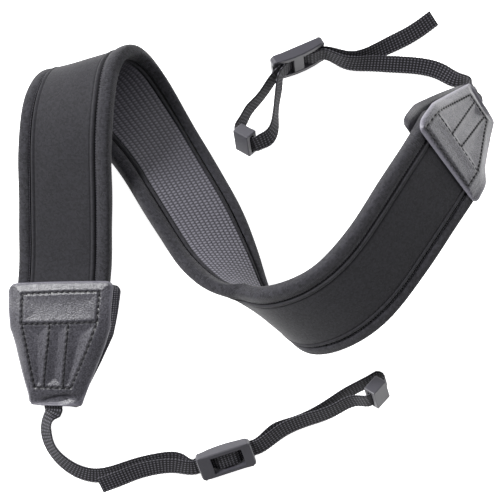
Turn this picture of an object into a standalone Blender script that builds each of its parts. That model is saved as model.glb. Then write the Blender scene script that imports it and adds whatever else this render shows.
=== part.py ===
"""Camera neck strap lying on a table, as CAD solids. Metres, +Z up.

A padded strip is curled in three runs and stands partly on its rim. Each end
has a leatherette tab, and from each tab a narrow webbing runs through a
buckle, round a lug loop, through a square sleeve and back through the buckle.
The first run lies on -X with its smooth face up, the middle run shows the
grip lining, and the last run rises over the floor and dives to the far tab.
"""

from collections import namedtuple
from math import cos, pi, radians, sin

import bmesh
import bpy
import numpy as np
from mathutils import Matrix, Vector

# Padded strip
PAD_LENGTH = 0.464
PAD_WIDTH = 0.051
PAD_THICKNESS = 0.008
BINDING_WIDTH = 0.0068
CORE_RECESS = 0.0004
LINING_THICKNESS = 0.0012
LINING_RECESS = 0.0003
LINING_MARGIN = 0.0025
PAD_STEP = 0.0120
PAD_TURN = 0.42

# Leatherette tabs
TAB_LENGTH = 0.0654
TAB_OVERLAP = 0.0110
TAB_WIDE = 0.0536
TAB_SHOULDER = 0.0515
TAB_NARROW = 0.0261
TAB_SHOULDER_AT = 0.0250
TAB_CORNER = 0.0045
TAB_TIP_CORNER = 0.0012
TAB_EDGE_DROP = 0.0090
TAB_PUFF = 0.0009
TAB_MOUTH = 0.0005
TAB_LEAD_OUT = 0.0030
LEATHER = 0.0015

# How the patches are sewn on: sideways shifts of the front one, the back one and the webbing's mouth,
# how much farther the wide end reaches onto the pad as a share of the tab's length, and its skew
Sewn = namedtuple("Sewn", "front_shift back_shift mouth_shift reach skew")
LEFT_TAB = Sewn(-0.0015, 0.0022, 0.0, 0.0, 0.09)
RIGHT_TAB = Sewn(0.0, -0.0030, -0.0040, 0.035, 0.14)

# Webbing
WEBBING_WIDTH = 0.0100
WEBBING_THICKNESS = 0.0012
WEBBING_HIDDEN = 0.0220
WEBBING_STEP = 0.0042

# Buckles, with the length along the webbing
BUCKLE_LENGTH = 0.0304
BUCKLE_WIDTH = 0.0164
BUCKLE_THICKNESS = 0.0065
BUCKLE_BOW = 0.0016
BUCKLE_CORNER = 0.0020
BUCKLE_EDGE = 0.0005
BUCKLE_TAB_BAR = 0.0074
BUCKLE_LOOP_BAR = 0.0056
BUCKLE_LEAD_OUT = 0.0018
SLOT_EXIT_ALONG = 0.0030
SLOT_EXIT_DROP = 0.0022
SLOT_EXIT_SPREAD = 0.0008
BUCKLE_CENTRE_BAR = 0.0060
CENTRE_BAR_THICKNESS = 0.0022
CENTRE_BAR_EDGE = 0.0005

# Square sleeves, with the length along the webbing
SLEEVE_LENGTH = 0.0102
SLEEVE_WIDTH = 0.0142
SLEEVE_THICKNESS = 0.0072
SLEEVE_BORE = 0.0030
SLEEVE_EDGE = 0.0005

GAP = 0.0003

# Plan distances along the floor on each side: tab to buckle, buckle to sleeve, buckle to cut end
LEFT_LEAD = 0.0975
LEFT_LOOP = 0.0875
LEFT_TAIL = 0.0700
RIGHT_LEAD = 0.1008
RIGHT_LOOP = 0.0495
RIGHT_TAIL = 0.0780

# The webbing's bend behind each sleeve: radius and sweep in degrees
Curl = namedtuple("Curl", "radius sweep")
LEFT_CURL = Curl(0.0036, 170)
RIGHT_CURL = Curl(0.0030, 80)

# A row of the strip's route, from the left tab's narrow end to the right one's. x and y are shares of
# the padded length, lift is how far the lower rim stands off the floor as a share of the padded width,
# azimuth and pitch are the direction from the left rim to the right rim, in degrees.
StripRow = namedtuple("StripRow", "x y lift azimuth pitch")
STRIP_ROUTE = (
    StripRow(-0.232, -0.184, -0.030, -5, 4),
    StripRow(-0.228, -0.140, 0.015, -5, 8),
    StripRow(-0.222, -0.092, 0.045, -4, 12),
    StripRow(-0.218, -0.045, 0.055, -4, 13),
    StripRow(-0.215, -0.010, 0.120, -4, 13),
    StripRow(-0.213, 0.026, 0.240, -5, 13),
    StripRow(-0.211, 0.075, 0.400, -6, 14),
    StripRow(-0.209, 0.125, 0.520, -6, 17),
    StripRow(-0.203, 0.176, 0.460, -3, 24),
    StripRow(-0.189, 0.210, 0.165, 10, 33),
    StripRow(-0.167, 0.202, 0.010, 31, 21),
    StripRow(-0.142, 0.167, 0.060, 34, -7),
    StripRow(-0.114, 0.126, 0.005, 30, -26),
    StripRow(-0.086, 0.081, 0.000, 29, -30),
    StripRow(-0.059, 0.036, 0.000, 25, -32),
    StripRow(-0.042, 0.005, 0.000, 14, -37),
    StripRow(-0.025, -0.023, 0.032, -3, -43),
    StripRow(-0.005, -0.050, 0.092, -21, -52),
    StripRow(0.015, -0.067, 0.260, -38, -52),
    StripRow(0.042, -0.078, 0.700, -50, -37),
    StripRow(0.079, -0.068, 0.950, -49, -31),
    StripRow(0.123, -0.034, 1.045, -44, -30),
    StripRow(0.157, 0.011, 1.025, -41, -30),
    StripRow(0.187, 0.056, 0.985, -42, -28),
    StripRow(0.210, 0.090, 0.880, -46, -26),
    StripRow(0.231, 0.119, 0.600, -50, -22),
    StripRow(0.252, 0.147, 0.260, -54, -18),
    StripRow(0.271, 0.172, -0.060, -55, -17),
)

# A row of a webbing's route. x and y are shares of the plan distance of its stretch, lift is how far
# the lower edge stands off the floor as a share of the webbing's width, and azimuth and pitch are the
# direction across the webbing, in degrees.
WebRow = namedtuple("WebRow", "x y lift azimuth pitch")

# A fitting's place: x and y as above, height of its middle above the floor as a share of its own width,
# the direction along the webbing and the direction across it, in degrees.
Place = namedtuple("Place", "x y height azimuth pitch across_azimuth across_pitch")

LEFT_LEAD_ROWS = (
    WebRow(-0.024, -0.060, 0.10, -4, 38),
    WebRow(-0.040, -0.135, 0.05, 2, 52),
    WebRow(-0.015, -0.225, 0.05, 26, 60),
    WebRow(0.055, -0.310, 0.05, 46, 57),
    WebRow(0.155, -0.370, 0.05, 68, 46),
    WebRow(0.250, -0.385, 0.08, 86, 37),
    WebRow(0.360, -0.360, 0.12, 100, 32),
    WebRow(0.470, -0.325, 0.15, 105, 30),
    WebRow(0.600, -0.288, 0.15, 105, 30),
    WebRow(0.710, -0.299, 0.12, 107, 32),
)
LEFT_BUCKLE = Place(0.954, -0.288, 0.43, 18, 0, 108, 33)
LEFT_LOOP_BEHIND_ROWS = (
    WebRow(0.305, 0.147, 0.10, 110, 33),
    WebRow(0.420, 0.192, 0.06, 110, 35),
    WebRow(0.520, 0.234, 0.06, 110, 38),
    WebRow(0.630, 0.300, 0.06, 110, 43),
    WebRow(0.745, 0.378, 0.06, 110, 46),
)
LEFT_SLEEVE = Place(0.933, 0.393, 0.74, 45, -22, 111, 47)
LEFT_LOOP_FRONT_ROWS = (
    WebRow(0.810, 0.340, 0.50, 111, 45),
    WebRow(0.672, 0.280, 0.36, 110, 42),
    WebRow(0.506, 0.218, 0.24, 110, 38),
    WebRow(0.338, 0.142, 0.24, 110, 34),
)
LEFT_TAIL_ROWS = (
    WebRow(-0.370, -0.062, 0.34, 107, 32),
    WebRow(-0.530, -0.056, 0.42, 105, 29),
    WebRow(-0.680, -0.090, 0.46, 106, 26),
    WebRow(-0.800, -0.142, 0.48, 106, 25),
    WebRow(-0.980, -0.212, 0.44, 104, 25),
)

RIGHT_LEAD_ROWS = (
    WebRow(-0.027, 0.098, 0.12, -24, -58),
    WebRow(-0.060, 0.121, 0.04, 228, -74),
    WebRow(-0.118, 0.131, 0.05, 252, -44),
    WebRow(-0.200, 0.170, 0.08, 256, -31),
    WebRow(-0.276, 0.196, 0.11, 258, -30),
    WebRow(-0.366, 0.208, 0.15, 262, -30),
    WebRow(-0.473, 0.213, 0.20, 266, -31),
    WebRow(-0.640, 0.221, 0.34, 268, -40),
    WebRow(-0.750, 0.236, 0.50, 274, -56),
)
RIGHT_BUCKLE = Place(-0.972, 0.230, 0.64, 204, 7, 277, -62)
RIGHT_LOOP_BEHIND_ROWS = (
    WebRow(-0.240, -0.240, 0.72, -34, -68),
    WebRow(-0.262, -0.400, 0.70, -24, -72),
    WebRow(-0.276, -0.560, 0.72, -20, -70),
    WebRow(-0.292, -0.690, 0.86, -32, -56),
    WebRow(-0.348, -0.790, 1.06, -58, -38),
    WebRow(-0.435, -0.842, 1.16, -74, -38),
)
RIGHT_SLEEVE = Place(-0.600, -0.818, 0.82, 149, -30, -81, -48)
RIGHT_LOOP_FRONT_ROWS = (
    WebRow(-0.625, -0.590, 0.20, -62, -58),
    WebRow(-0.560, -0.480, 0.28, -54, -62),
    WebRow(-0.460, -0.370, 0.46, -46, -66),
    WebRow(-0.360, -0.240, 0.64, -48, -66),
)
RIGHT_TAIL_ROWS = (
    WebRow(0.330, 0.052, 0.36, 274, -50),
    WebRow(0.480, 0.082, 0.20, 279, -38),
    WebRow(0.615, 0.146, 0.10, 290, -28),
    WebRow(0.770, 0.226, 0.10, 300, -26),
    WebRow(0.925, 0.336, 0.10, 306, -26),
)

# Share of the two end bars that the webbing follows before it leaves the buckle: tab side, loop side
LEFT_FOLLOWS = (1.0, 1.0)
RIGHT_FOLLOWS = (0.5, 0.0)

MaterialLook = namedtuple("MaterialLook", "color roughness")
LOOKS = {
    "neoprene": MaterialLook((0.030, 0.031, 0.034), 0.85),
    "grip": MaterialLook((0.025, 0.026, 0.028), 0.70),
    "knit": MaterialLook((0.035, 0.036, 0.040), 0.90),
    "leatherette": MaterialLook((0.045, 0.046, 0.050), 0.50),
    "webbing": MaterialLook((0.018, 0.018, 0.020), 0.75),
    "plastic": MaterialLook((0.028, 0.029, 0.031), 0.40),
}


def direction(azimuth, pitch):
    """Unit vector at an azimuth and a pitch in degrees."""
    a = radians(azimuth)
    p = radians(pitch)
    return np.array([cos(a) * cos(p), sin(a) * cos(p), sin(p)])


def unit(vector):
    """Vectors along the last axis at length one."""
    vector = np.asarray(vector, dtype=float)
    return vector / np.linalg.norm(vector, axis=-1, keepdims=True)


class Spline:
    """Natural cubic curve through points of any dimension, by chord length."""

    def __init__(self, points, chord=None):
        self.points = np.asarray(points, dtype=float)
        if chord is None:
            steps = np.linalg.norm(np.diff(self.points, axis=0), axis=1)
            chord = np.concatenate([[0.0], np.cumsum(steps)])
        self.chord = chord
        h = np.diff(chord)
        count = len(chord)
        matrix = np.eye(count)
        right = np.zeros_like(self.points)
        slopes = np.diff(self.points, axis=0) / h[:, None]
        for i in range(1, count - 1):
            matrix[i, i - 1] = h[i - 1]
            matrix[i, i] = 2 * (h[i - 1] + h[i])
            matrix[i, i + 1] = h[i]
            right[i] = 6 * (slopes[i] - slopes[i - 1])
        self.bend = np.linalg.solve(matrix, right)

    def at(self, places):
        """Points of the curve at the given chord lengths, which may lie a little outside."""
        places = np.atleast_1d(places)
        i = np.clip(np.searchsorted(self.chord, places, side="right") - 1, 0, len(self.chord) - 2)
        h = (self.chord[i + 1] - self.chord[i])[:, None]
        b = ((places - self.chord[i])[:, None]) / h
        a = 1 - b
        line = a * self.points[i] + b * self.points[i + 1]
        curve = ((a ** 3 - a) * self.bend[i] + (b ** 3 - b) * self.bend[i + 1]) * h ** 2 / 6
        return line + curve


def frames_along(points, across):
    """Tangent, across and normal at each point, from the points and rough across directions."""
    tangent = unit(np.gradient(points, axis=0))
    across = unit(across - np.sum(across * tangent, axis=1)[:, None] * tangent)
    normal = np.cross(across, tangent)
    return tangent, across, normal


def strip_points(scale):
    """Centre of the strip at each row of the route, with the plan scaled."""
    rim = PAD_WIDTH / 2 - PAD_THICKNESS / 2
    points = []
    for row in STRIP_ROUTE:
        height = row.lift * PAD_WIDTH + rim * abs(sin(radians(row.pitch))) + PAD_THICKNESS / 2
        points.append((row.x * PAD_LENGTH * scale, row.y * PAD_LENGTH * scale, height))
    return np.array(points)


class Strip:
    """The strip's centre line, as long as the pad and both tabs together, with its frames."""

    def __init__(self):
        self.length = PAD_LENGTH + 2 * (TAB_LENGTH - TAB_OVERLAP)
        across = np.array([direction(row.azimuth, row.pitch) for row in STRIP_ROUTE])
        scale = 1.0
        for _ in range(12):
            spline = Spline(strip_points(scale))
            fine = np.linspace(0, spline.chord[-1], 1200)
            points = spline.at(fine)
            steps = np.linalg.norm(np.diff(points, axis=0), axis=1)
            run = np.concatenate([[0.0], np.cumsum(steps)])
            scale *= self.length / run[-1]
        self.run = run
        self.points = points
        turn = Spline(across, spline.chord)
        self.tangent, self.across, self.normal = frames_along(points, turn.at(fine))
        turning = np.linalg.norm(np.diff(self.across, axis=0), axis=1)
        turning += np.linalg.norm(np.diff(self.tangent, axis=0), axis=1)
        self.effort = run / PAD_STEP + np.concatenate([[0.0], np.cumsum(turning)]) / PAD_TURN

    def at(self, s):
        """Point, tangent, across and normal at the length s from the left narrow end."""
        values = []
        for table in (self.points, self.tangent, self.across, self.normal):
            values.append(np.array([np.interp(s, self.run, table[:, k]) for k in range(3)]))
        return values[0], unit(values[1]), unit(values[2]), unit(values[3])

    def stations(self, start, end):
        """Lengths from start to end, closer together where the strip bends and twists."""
        first, last = np.interp((start, end), self.run, self.effort)
        steps = max(2, round(last - first))
        return np.interp(np.linspace(first, last, steps + 1), self.effort, self.run)


def material(name):
    """The material of a look, made once."""
    found = bpy.data.materials.get(name)
    if found:
        return found
    look = LOOKS[name]
    made = bpy.data.materials.new(name)
    made.use_nodes = True
    shader = made.node_tree.nodes["Principled BSDF"]
    shader.inputs["Base Color"].default_value = (*look.color, 1.0)
    shader.inputs["Roughness"].default_value = look.roughness
    shader.inputs["Metallic"].default_value = 0.0
    made.diffuse_color = (*look.color, 1.0)
    return made


def collection(name):
    """A new collection in the scene."""
    made = bpy.data.collections.new(name)
    bpy.context.scene.collection.children.link(made)
    return made


def add_object(name, bm, look, group, smooth_angle=35):
    """An object from a bmesh, with its material and shading."""
    mesh = bpy.data.meshes.new(name)
    bm.to_mesh(mesh)
    bm.free()
    mesh.materials.append(material(look))
    if smooth_angle:
        mesh.shade_smooth()
        mesh.set_sharp_from_angle(angle=radians(smooth_angle))
    made = bpy.data.objects.new(name, mesh)
    group.objects.link(made)
    return made


def loft(rings):
    """A closed bmesh through rings of equally many points, with flat ends."""
    bm = bmesh.new()
    rows = []
    for ring in rings:
        rows.append([bm.verts.new(point) for point in ring])
    count = len(rows[0])
    for near, far in zip(rows[:-1], rows[1:]):
        for i in range(count):
            j = (i + 1) % count
            bm.faces.new((near[i], near[j], far[j], far[i]))
    bm.faces.new(rows[0][::-1])
    bm.faces.new(rows[-1])
    bmesh.ops.recalc_face_normals(bm, faces=bm.faces)
    return bm


def arc(centre, radius, start, end, steps):
    """Points of an arc in the section's plane, angles in degrees."""
    points = []
    for i in range(steps + 1):
        angle = radians(start + (end - start) * i / steps)
        points.append((centre[0] + radius * cos(angle), centre[1] + radius * sin(angle)))
    return points


def binding_section(side):
    """A rolled edge binding: flat against the core, round on the outside."""
    inner = PAD_WIDTH / 2 - BINDING_WIDTH
    radius = PAD_THICKNESS / 2
    outline = [(inner, -radius)]
    outline += arc((PAD_WIDTH / 2 - radius, 0.0), radius, -90, 90, 6)
    outline.append((inner, radius))
    return [(side * u, v) for u, v in outline]


def core_section():
    """The foam core between the bindings, with softened outer corners."""
    half = PAD_WIDTH / 2 - BINDING_WIDTH - GAP
    top = PAD_THICKNESS / 2 - CORE_RECESS
    bottom = -PAD_THICKNESS / 2 + LINING_RECESS + LINING_THICKNESS + GAP
    soft = (top - bottom) / 5
    return [(-half, bottom), (0.0, bottom), (half, bottom), (half, top - soft), (half - soft, top),
            (0.0, top), (-half + soft, top), (-half, top - soft)]


def lining_section():
    """The grip lining on the inner face."""
    half = PAD_WIDTH / 2 - BINDING_WIDTH - GAP - LINING_MARGIN
    bottom = -PAD_THICKNESS / 2 + LINING_RECESS
    top = bottom + LINING_THICKNESS
    return [(-half, bottom), (0.0, bottom), (half, bottom), (half, top), (0.0, top), (-half, top)]


def along_strip(strip, section, start, end):
    """The section carried along the strip between two lengths."""
    rings = []
    for s in strip.stations(start, end):
        point, _, across, normal = strip.at(s)
        rings.append([point + u * across + v * normal for u, v in section])
    return loft(rings)


def make_pad(strip, group):
    """Core, lining and both bindings."""
    start = TAB_LENGTH - TAB_OVERLAP
    end = start + PAD_LENGTH
    add_object("neck_pad", along_strip(strip, core_section(), start, end), "neoprene", group)
    lining = along_strip(strip, lining_section(), start, end)
    add_object("grip_lining", lining, "grip", group)
    for name, side in (("edge_binding_left", -1), ("edge_binding_right", 1)):
        binding = along_strip(strip, binding_section(side), start, end)
        add_object(name, binding, "knit", group, smooth_angle=50)


def smooth_step(x):
    """Eases from 0 to 1 as x goes from 0 to 1."""
    x = min(max(x, 0.0), 1.0)
    return x * x * (3 - 2 * x)


def tab_half_width(d):
    """Half of the tab's width at the distance d from its wide end."""
    if d < TAB_SHOULDER_AT:
        width = TAB_WIDE + (TAB_SHOULDER - TAB_WIDE) * d / TAB_SHOULDER_AT
    else:
        share = (d - TAB_SHOULDER_AT) / (TAB_LENGTH - TAB_SHOULDER_AT)
        width = TAB_SHOULDER + (TAB_NARROW - TAB_SHOULDER) * share
    half = width / 2
    for from_end, corner in ((d, TAB_CORNER), (TAB_LENGTH - d, TAB_TIP_CORNER)):
        if from_end < corner:
            half -= corner - (corner ** 2 - (corner - from_end) ** 2) ** 0.5
    return half


def tab_puff(x, d):
    """Rise of the padded panels: one across the wide end, three towards the narrow end."""
    across_end = (0.12 * TAB_LENGTH, 0.36 * TAB_LENGTH)
    fans_end = (0.38 * TAB_LENGTH, 0.84 * TAB_LENGTH)
    inside = 0.88
    if abs(x) >= inside:
        return 0.0
    if across_end[0] < d < across_end[1]:
        share = (d - across_end[0]) / (across_end[1] - across_end[0])
        return TAB_PUFF * sin(pi * share) * (1 - (x / inside) ** 6)
    if fans_end[0] < d < fans_end[1]:
        share = (d - fans_end[0]) / (fans_end[1] - fans_end[0])
        return TAB_PUFF * sin(pi * share) * abs(sin(1.5 * pi * (x / inside + 1)))
    return 0.0


def tab_height(x, d, front):
    """Middle of the leather above the strip's mid plane, at the share x of the half width."""
    over_pad = PAD_THICKNESS / 2 + 1.5 * GAP
    over_webbing = WEBBING_THICKNESS / 2 + TAB_MOUTH
    past_pad = d - TAB_OVERLAP - GAP
    middle = over_pad + (over_webbing - over_pad) * smooth_step(past_pad / (0.95 * TAB_LENGTH - TAB_OVERLAP))
    edge = over_pad + (GAP - over_pad) * smooth_step(past_pad / TAB_EDGE_DROP)
    edge = min(edge, middle)
    height = edge + (middle - edge) * (1 - x ** 6)
    if front:
        height += tab_puff(x, d)
    return height + LEATHER / 2


def make_tab(strip, group, name, front, left):
    """One leatherette patch, outer or inner, of the left or right tab."""
    side = 1 if front else -1
    sewn = LEFT_TAB if left else RIGHT_TAB
    shift = sewn.front_shift if front else sewn.back_shift
    bm = bmesh.new()
    bmesh.ops.create_grid(bm, x_segments=12, y_segments=17, size=1.0)
    for vert in bm.verts:
        x = vert.co.x
        d = TAB_LENGTH * ((vert.co.y + 1) / 2) ** 1.15
        toward_pad = 1 - d / TAB_LENGTH
        askew = sewn.skew * x * tab_half_width(d) * toward_pad
        inside = TAB_LENGTH - d + sewn.reach * TAB_LENGTH * toward_pad
        s = askew + (inside if left else strip.length - inside)
        point, _, across, normal = strip.at(s)
        u = x * tab_half_width(d) + shift
        vert.co = Vector(point + u * across + side * tab_height(x, d, front) * normal)
    bmesh.ops.recalc_face_normals(bm, faces=bm.faces)
    made = add_object(name, bm, "leatherette", group, smooth_angle=50)
    wall = made.modifiers.new("wall", "SOLIDIFY")
    wall.thickness = LEATHER
    wall.offset = 0.0
    return made


class Buckle:
    """A ladder buckle's place and the levels of the two plies in it."""

    def __init__(self, origin, place, front):
        self.along = direction(place.azimuth, place.pitch)
        across = direction(place.across_azimuth, place.across_pitch)
        self.across = unit(across - across.dot(self.along) * self.along)
        self.face = front * np.cross(self.along, self.across)
        self.origin = origin - self.face * BUCKLE_THICKNESS / 2
        half = BUCKLE_LENGTH / 2
        self.bar_tab = -half + BUCKLE_TAB_BAR
        self.bar_loop = half - BUCKLE_LOOP_BAR
        slot = (self.bar_loop - self.bar_tab - BUCKLE_CENTRE_BAR) / 2
        self.bar_start = self.bar_tab + slot
        self.bar_end = self.bar_loop - slot
        self.low = WEBBING_THICKNESS / 2 + GAP
        self.high = CENTRE_BAR_THICKNESS + GAP + WEBBING_THICKNESS / 2
        self.ply = WEBBING_THICKNESS + GAP
        self.bar_under = self.low + self.ply + WEBBING_THICKNESS / 2 + GAP

    def level(self, u):
        """Height of the lower ply at u, under the end bars and over the centre bar."""
        if u < self.bar_start:
            share = (u - self.bar_tab) / (self.bar_start - self.bar_tab)
        else:
            share = (self.bar_loop - u) / (self.bar_loop - self.bar_end)
        return self.low + (self.high - self.low) * smooth_step(share)

    def point(self, u, w):
        """World point at u along and w above the back, on the middle line."""
        return self.origin + u * self.along + w * self.face

    def stations(self, upper, follows):
        """Webbing stations through the buckle from the tab side to the loop side."""
        reach = BUCKLE_LENGTH / 2
        start = self.bar_tab - follows[0] * (reach + self.bar_tab)
        end = self.bar_loop + follows[1] * (reach - self.bar_loop)
        places = [start, (start + self.bar_tab) / 2] if follows[0] else []
        places += list(np.linspace(self.bar_tab, self.bar_start, 6))
        places += list(np.linspace(self.bar_start, self.bar_end, 4)[1:])
        places += list(np.linspace(self.bar_end, self.bar_loop, 6)[1:6 if follows[1] else 4])
        places += [(end + self.bar_loop) / 2, end] if follows[1] else []
        lift = self.ply if upper else 0.0
        found = []
        for u in places:
            rise = (self.level(u + GAP) - self.level(u - GAP)) / (2 * GAP)
            length = (1 + rise ** 2) ** 0.5
            found.append((self.point(u - lift * rise / length, self.level(u) + lift / length), self.across))
        if follows[0] == 1:
            found.insert(0, (self.point(start - BUCKLE_LEAD_OUT, self.low + lift), self.across))
        if follows[1]:
            found.append((self.point(end + BUCKLE_LEAD_OUT, self.low + lift), self.across))
        else:
            onward = np.array([SLOT_EXIT_ALONG, -SLOT_EXIT_DROP])
            beside = (lift + SLOT_EXIT_SPREAD * upper) * unit([SLOT_EXIT_DROP, SLOT_EXIT_ALONG])
            u, w = np.array([end, self.low]) + onward + beside
            found.append((self.point(u, w), self.across))
        return found


def box(name, size, centre, group, edge=0.0, look="plastic"):
    """A box about a centre in its own frame, with softened edges."""
    bm = bmesh.new()
    bmesh.ops.create_cube(bm, size=1.0, matrix=Matrix.Diagonal((*size, 1.0)))
    bmesh.ops.translate(bm, verts=bm.verts, vec=Vector(centre))
    if edge:
        bmesh.ops.bevel(bm, geom=bm.edges, offset=edge, segments=2, profile=0.5, affect="EDGES")
    return add_object(name, bm, look, group, smooth_angle=0)


def cut(target, cutter, operation="DIFFERENCE"):
    """A Boolean of the target with a guide that is not part of the model."""
    cutter.hide_render = True
    cutter.display_type = "WIRE"
    step = target.modifiers.new(cutter.name, "BOOLEAN")
    step.object = cutter
    step.operation = operation
    step.solver = "EXACT"


def buckle_body(name, group):
    """The outer block of a buckle: flat front, bowed back, rounded corners."""
    bm = bmesh.new()
    size = (BUCKLE_LENGTH, BUCKLE_WIDTH, BUCKLE_THICKNESS)
    bmesh.ops.create_cube(bm, size=1.0, matrix=Matrix.Diagonal((*size, 1.0)))
    bmesh.ops.translate(bm, verts=bm.verts, vec=Vector((0, 0, BUCKLE_THICKNESS / 2)))
    upright = [e for e in bm.edges if abs(e.verts[0].co.z - e.verts[1].co.z) > BUCKLE_THICKNESS / 2]
    bmesh.ops.bevel(bm, geom=upright, offset=BUCKLE_CORNER, segments=3, profile=0.5, affect="EDGES")
    flat = BUCKLE_LENGTH / 2 - BUCKLE_CORNER
    cuts = 5
    for i in range(cuts + 1):
        place = -flat + 2 * flat * i / cuts
        bmesh.ops.bisect_plane(bm, geom=bm.verts[:] + bm.edges[:] + bm.faces[:],
                               plane_co=(place, 0, 0), plane_no=(1, 0, 0))
    for vert in bm.verts:
        if vert.co.z < BUCKLE_THICKNESS / 2:
            vert.co.z = BUCKLE_BOW * (min(abs(vert.co.x), flat) / flat) ** 2
    bmesh.ops.recalc_face_normals(bm, faces=bm.faces)
    made = add_object(name, bm, "plastic", group, smooth_angle=30)
    soften = made.modifiers.new("soften", "BEVEL")
    soften.width = BUCKLE_EDGE
    soften.segments = 1
    soften.limit_method = "ANGLE"
    soften.angle_limit = radians(50)
    return made


def make_buckle(name, buckle, group, guides):
    """One buckle with its window, its webbing channel and its centre bar."""
    made = buckle_body(name, group)
    window = WEBBING_WIDTH + 4 * GAP
    middle = (buckle.bar_tab + buckle.bar_loop) / 2
    opening = box(name + "_window", (buckle.bar_loop - buckle.bar_tab, window, 4 * BUCKLE_THICKNESS),
                  (middle, 0, 0), guides)
    channel = box(name + "_channel", (2 * BUCKLE_LENGTH, window, 2 * buckle.bar_under), (0, 0, 0), guides)
    bar_width = window + BUCKLE_WIDTH / 10
    bar = box(name + "_bar", (BUCKLE_CENTRE_BAR, bar_width, CENTRE_BAR_THICKNESS - GAP),
              (middle, 0, (CENTRE_BAR_THICKNESS + GAP) / 2), guides, edge=CENTRE_BAR_EDGE)
    cut(made, opening)
    cut(made, channel)
    cut(made, bar, "UNION")
    side = np.cross(buckle.face, buckle.along)
    stand((made, opening, channel, bar), buckle.origin, buckle.along, side, buckle.face)
    return made


def stand(objects, origin, x_axis, y_axis, z_axis):
    """Places objects so that their own axes point along the given directions."""
    turn = Matrix([x_axis, y_axis, z_axis]).transposed().to_4x4()
    place = Matrix.Translation(Vector(origin)) @ turn
    for item in objects:
        item.matrix_world = place


class Sleeve:
    """A square sleeve's place and the webbing's way through it."""

    def __init__(self, origin, place, front):
        self.origin = origin
        self.along = direction(place.azimuth, place.pitch)
        across = direction(place.across_azimuth, place.across_pitch)
        self.across = unit(across - across.dot(self.along) * self.along)
        self.face = front * np.cross(self.along, self.across)

    def stations(self, curl):
        """Stations through the sleeve and round the curl behind its far end."""
        half = SLEEVE_LENGTH / 2 + 2 * GAP
        found = []
        for share in (-1.0, -0.5, 0.0, 0.5, 1.0):
            found.append((self.origin + share * half * self.along, self.across))
        centre = self.origin + half * self.along - curl.radius * self.face
        steps = round(curl.sweep / 30)
        for i in range(1, steps + 1):
            turn = radians(curl.sweep * i / steps)
            reach = curl.radius * (cos(turn) * self.face + sin(turn) * self.along)
            found.append((centre + reach, self.across))
        return found


def make_sleeve(name, sleeve, group, guides):
    """One sleeve, a block with the webbing's bore through it."""
    made = box(name, (SLEEVE_LENGTH, SLEEVE_WIDTH, SLEEVE_THICKNESS), (0, 0, 0), group, edge=SLEEVE_EDGE)
    bore_size = (2 * SLEEVE_LENGTH, WEBBING_WIDTH + 4 * GAP, SLEEVE_BORE)
    bore = box(name + "_bore", bore_size, (0, 0, 0), guides)
    cut(made, bore)
    side = np.cross(sleeve.face, sleeve.along)
    stand((made, bore), sleeve.origin, sleeve.along, side, sleeve.face)
    return made


def web_stations(rows, start, reach):
    """Stations of a table of webbing rows, from the plan point that they are measured from."""
    found = []
    for row in rows:
        lean = radians(row.pitch)
        height = row.lift * WEBBING_WIDTH + WEBBING_WIDTH / 2 * abs(sin(lean))
        height += WEBBING_THICKNESS / 2 * abs(cos(lean))
        point = np.array([start[0] + row.x * reach, start[1] + row.y * reach, height])
        found.append((point, direction(row.azimuth, row.pitch)))
    return found


def place_point(place, start, reach, width):
    """World point of a fitting."""
    return np.array([start[0] + place.x * reach, start[1] + place.y * reach, place.height * width])


def make_webbing(name, stations, group):
    """A webbing through its stations, with a flat section."""
    spline = Spline([point for point, _ in stations])
    turn = Spline([across for _, across in stations], spline.chord)
    places = []
    for near, far in zip(spline.chord[:-1], spline.chord[1:]):
        parts = max(1, round((far - near) / WEBBING_STEP))
        places += [near + (far - near) * i / parts for i in range(parts)]
    places.append(spline.chord[-1])
    points = spline.at(np.array(places))
    ahead = spline.at(np.array(places) + GAP)
    behind = spline.at(np.array(places) - GAP)
    tangent = unit(ahead - behind)
    across = turn.at(np.array(places))
    across = unit(across - np.sum(across * tangent, axis=1)[:, None] * tangent)
    normal = np.cross(across, tangent)
    half = WEBBING_WIDTH / 2
    flat = WEBBING_THICKNESS / 2
    rings = []
    for p, a, n in zip(points, across, normal):
        rings.append([p + half * a + flat * n, p - half * a + flat * n,
                      p - half * a - flat * n, p + half * a - flat * n])
    return add_object(name, loft(rings), "webbing", group)


def tab_stations(strip, at_left):
    """Webbing stations inside a tab, towards its narrow end, and one just beyond it."""
    shift = LEFT_TAB.mouth_shift if at_left else RIGHT_TAB.mouth_shift
    found = []
    for share in (1.0, 0.6, 0.3, 0.12, 0.0):
        inside = share * WEBBING_HIDDEN
        point, tangent, across, _ = strip.at(inside if at_left else strip.length - inside)
        found.append((point + shift * (1 - share) ** 2 * across, across))
    onward = unit((-1 if at_left else 1) * tangent + 2 * shift / WEBBING_HIDDEN * across)
    found.append((found[-1][0] + TAB_LEAD_OUT * onward, across))
    return found


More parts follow.
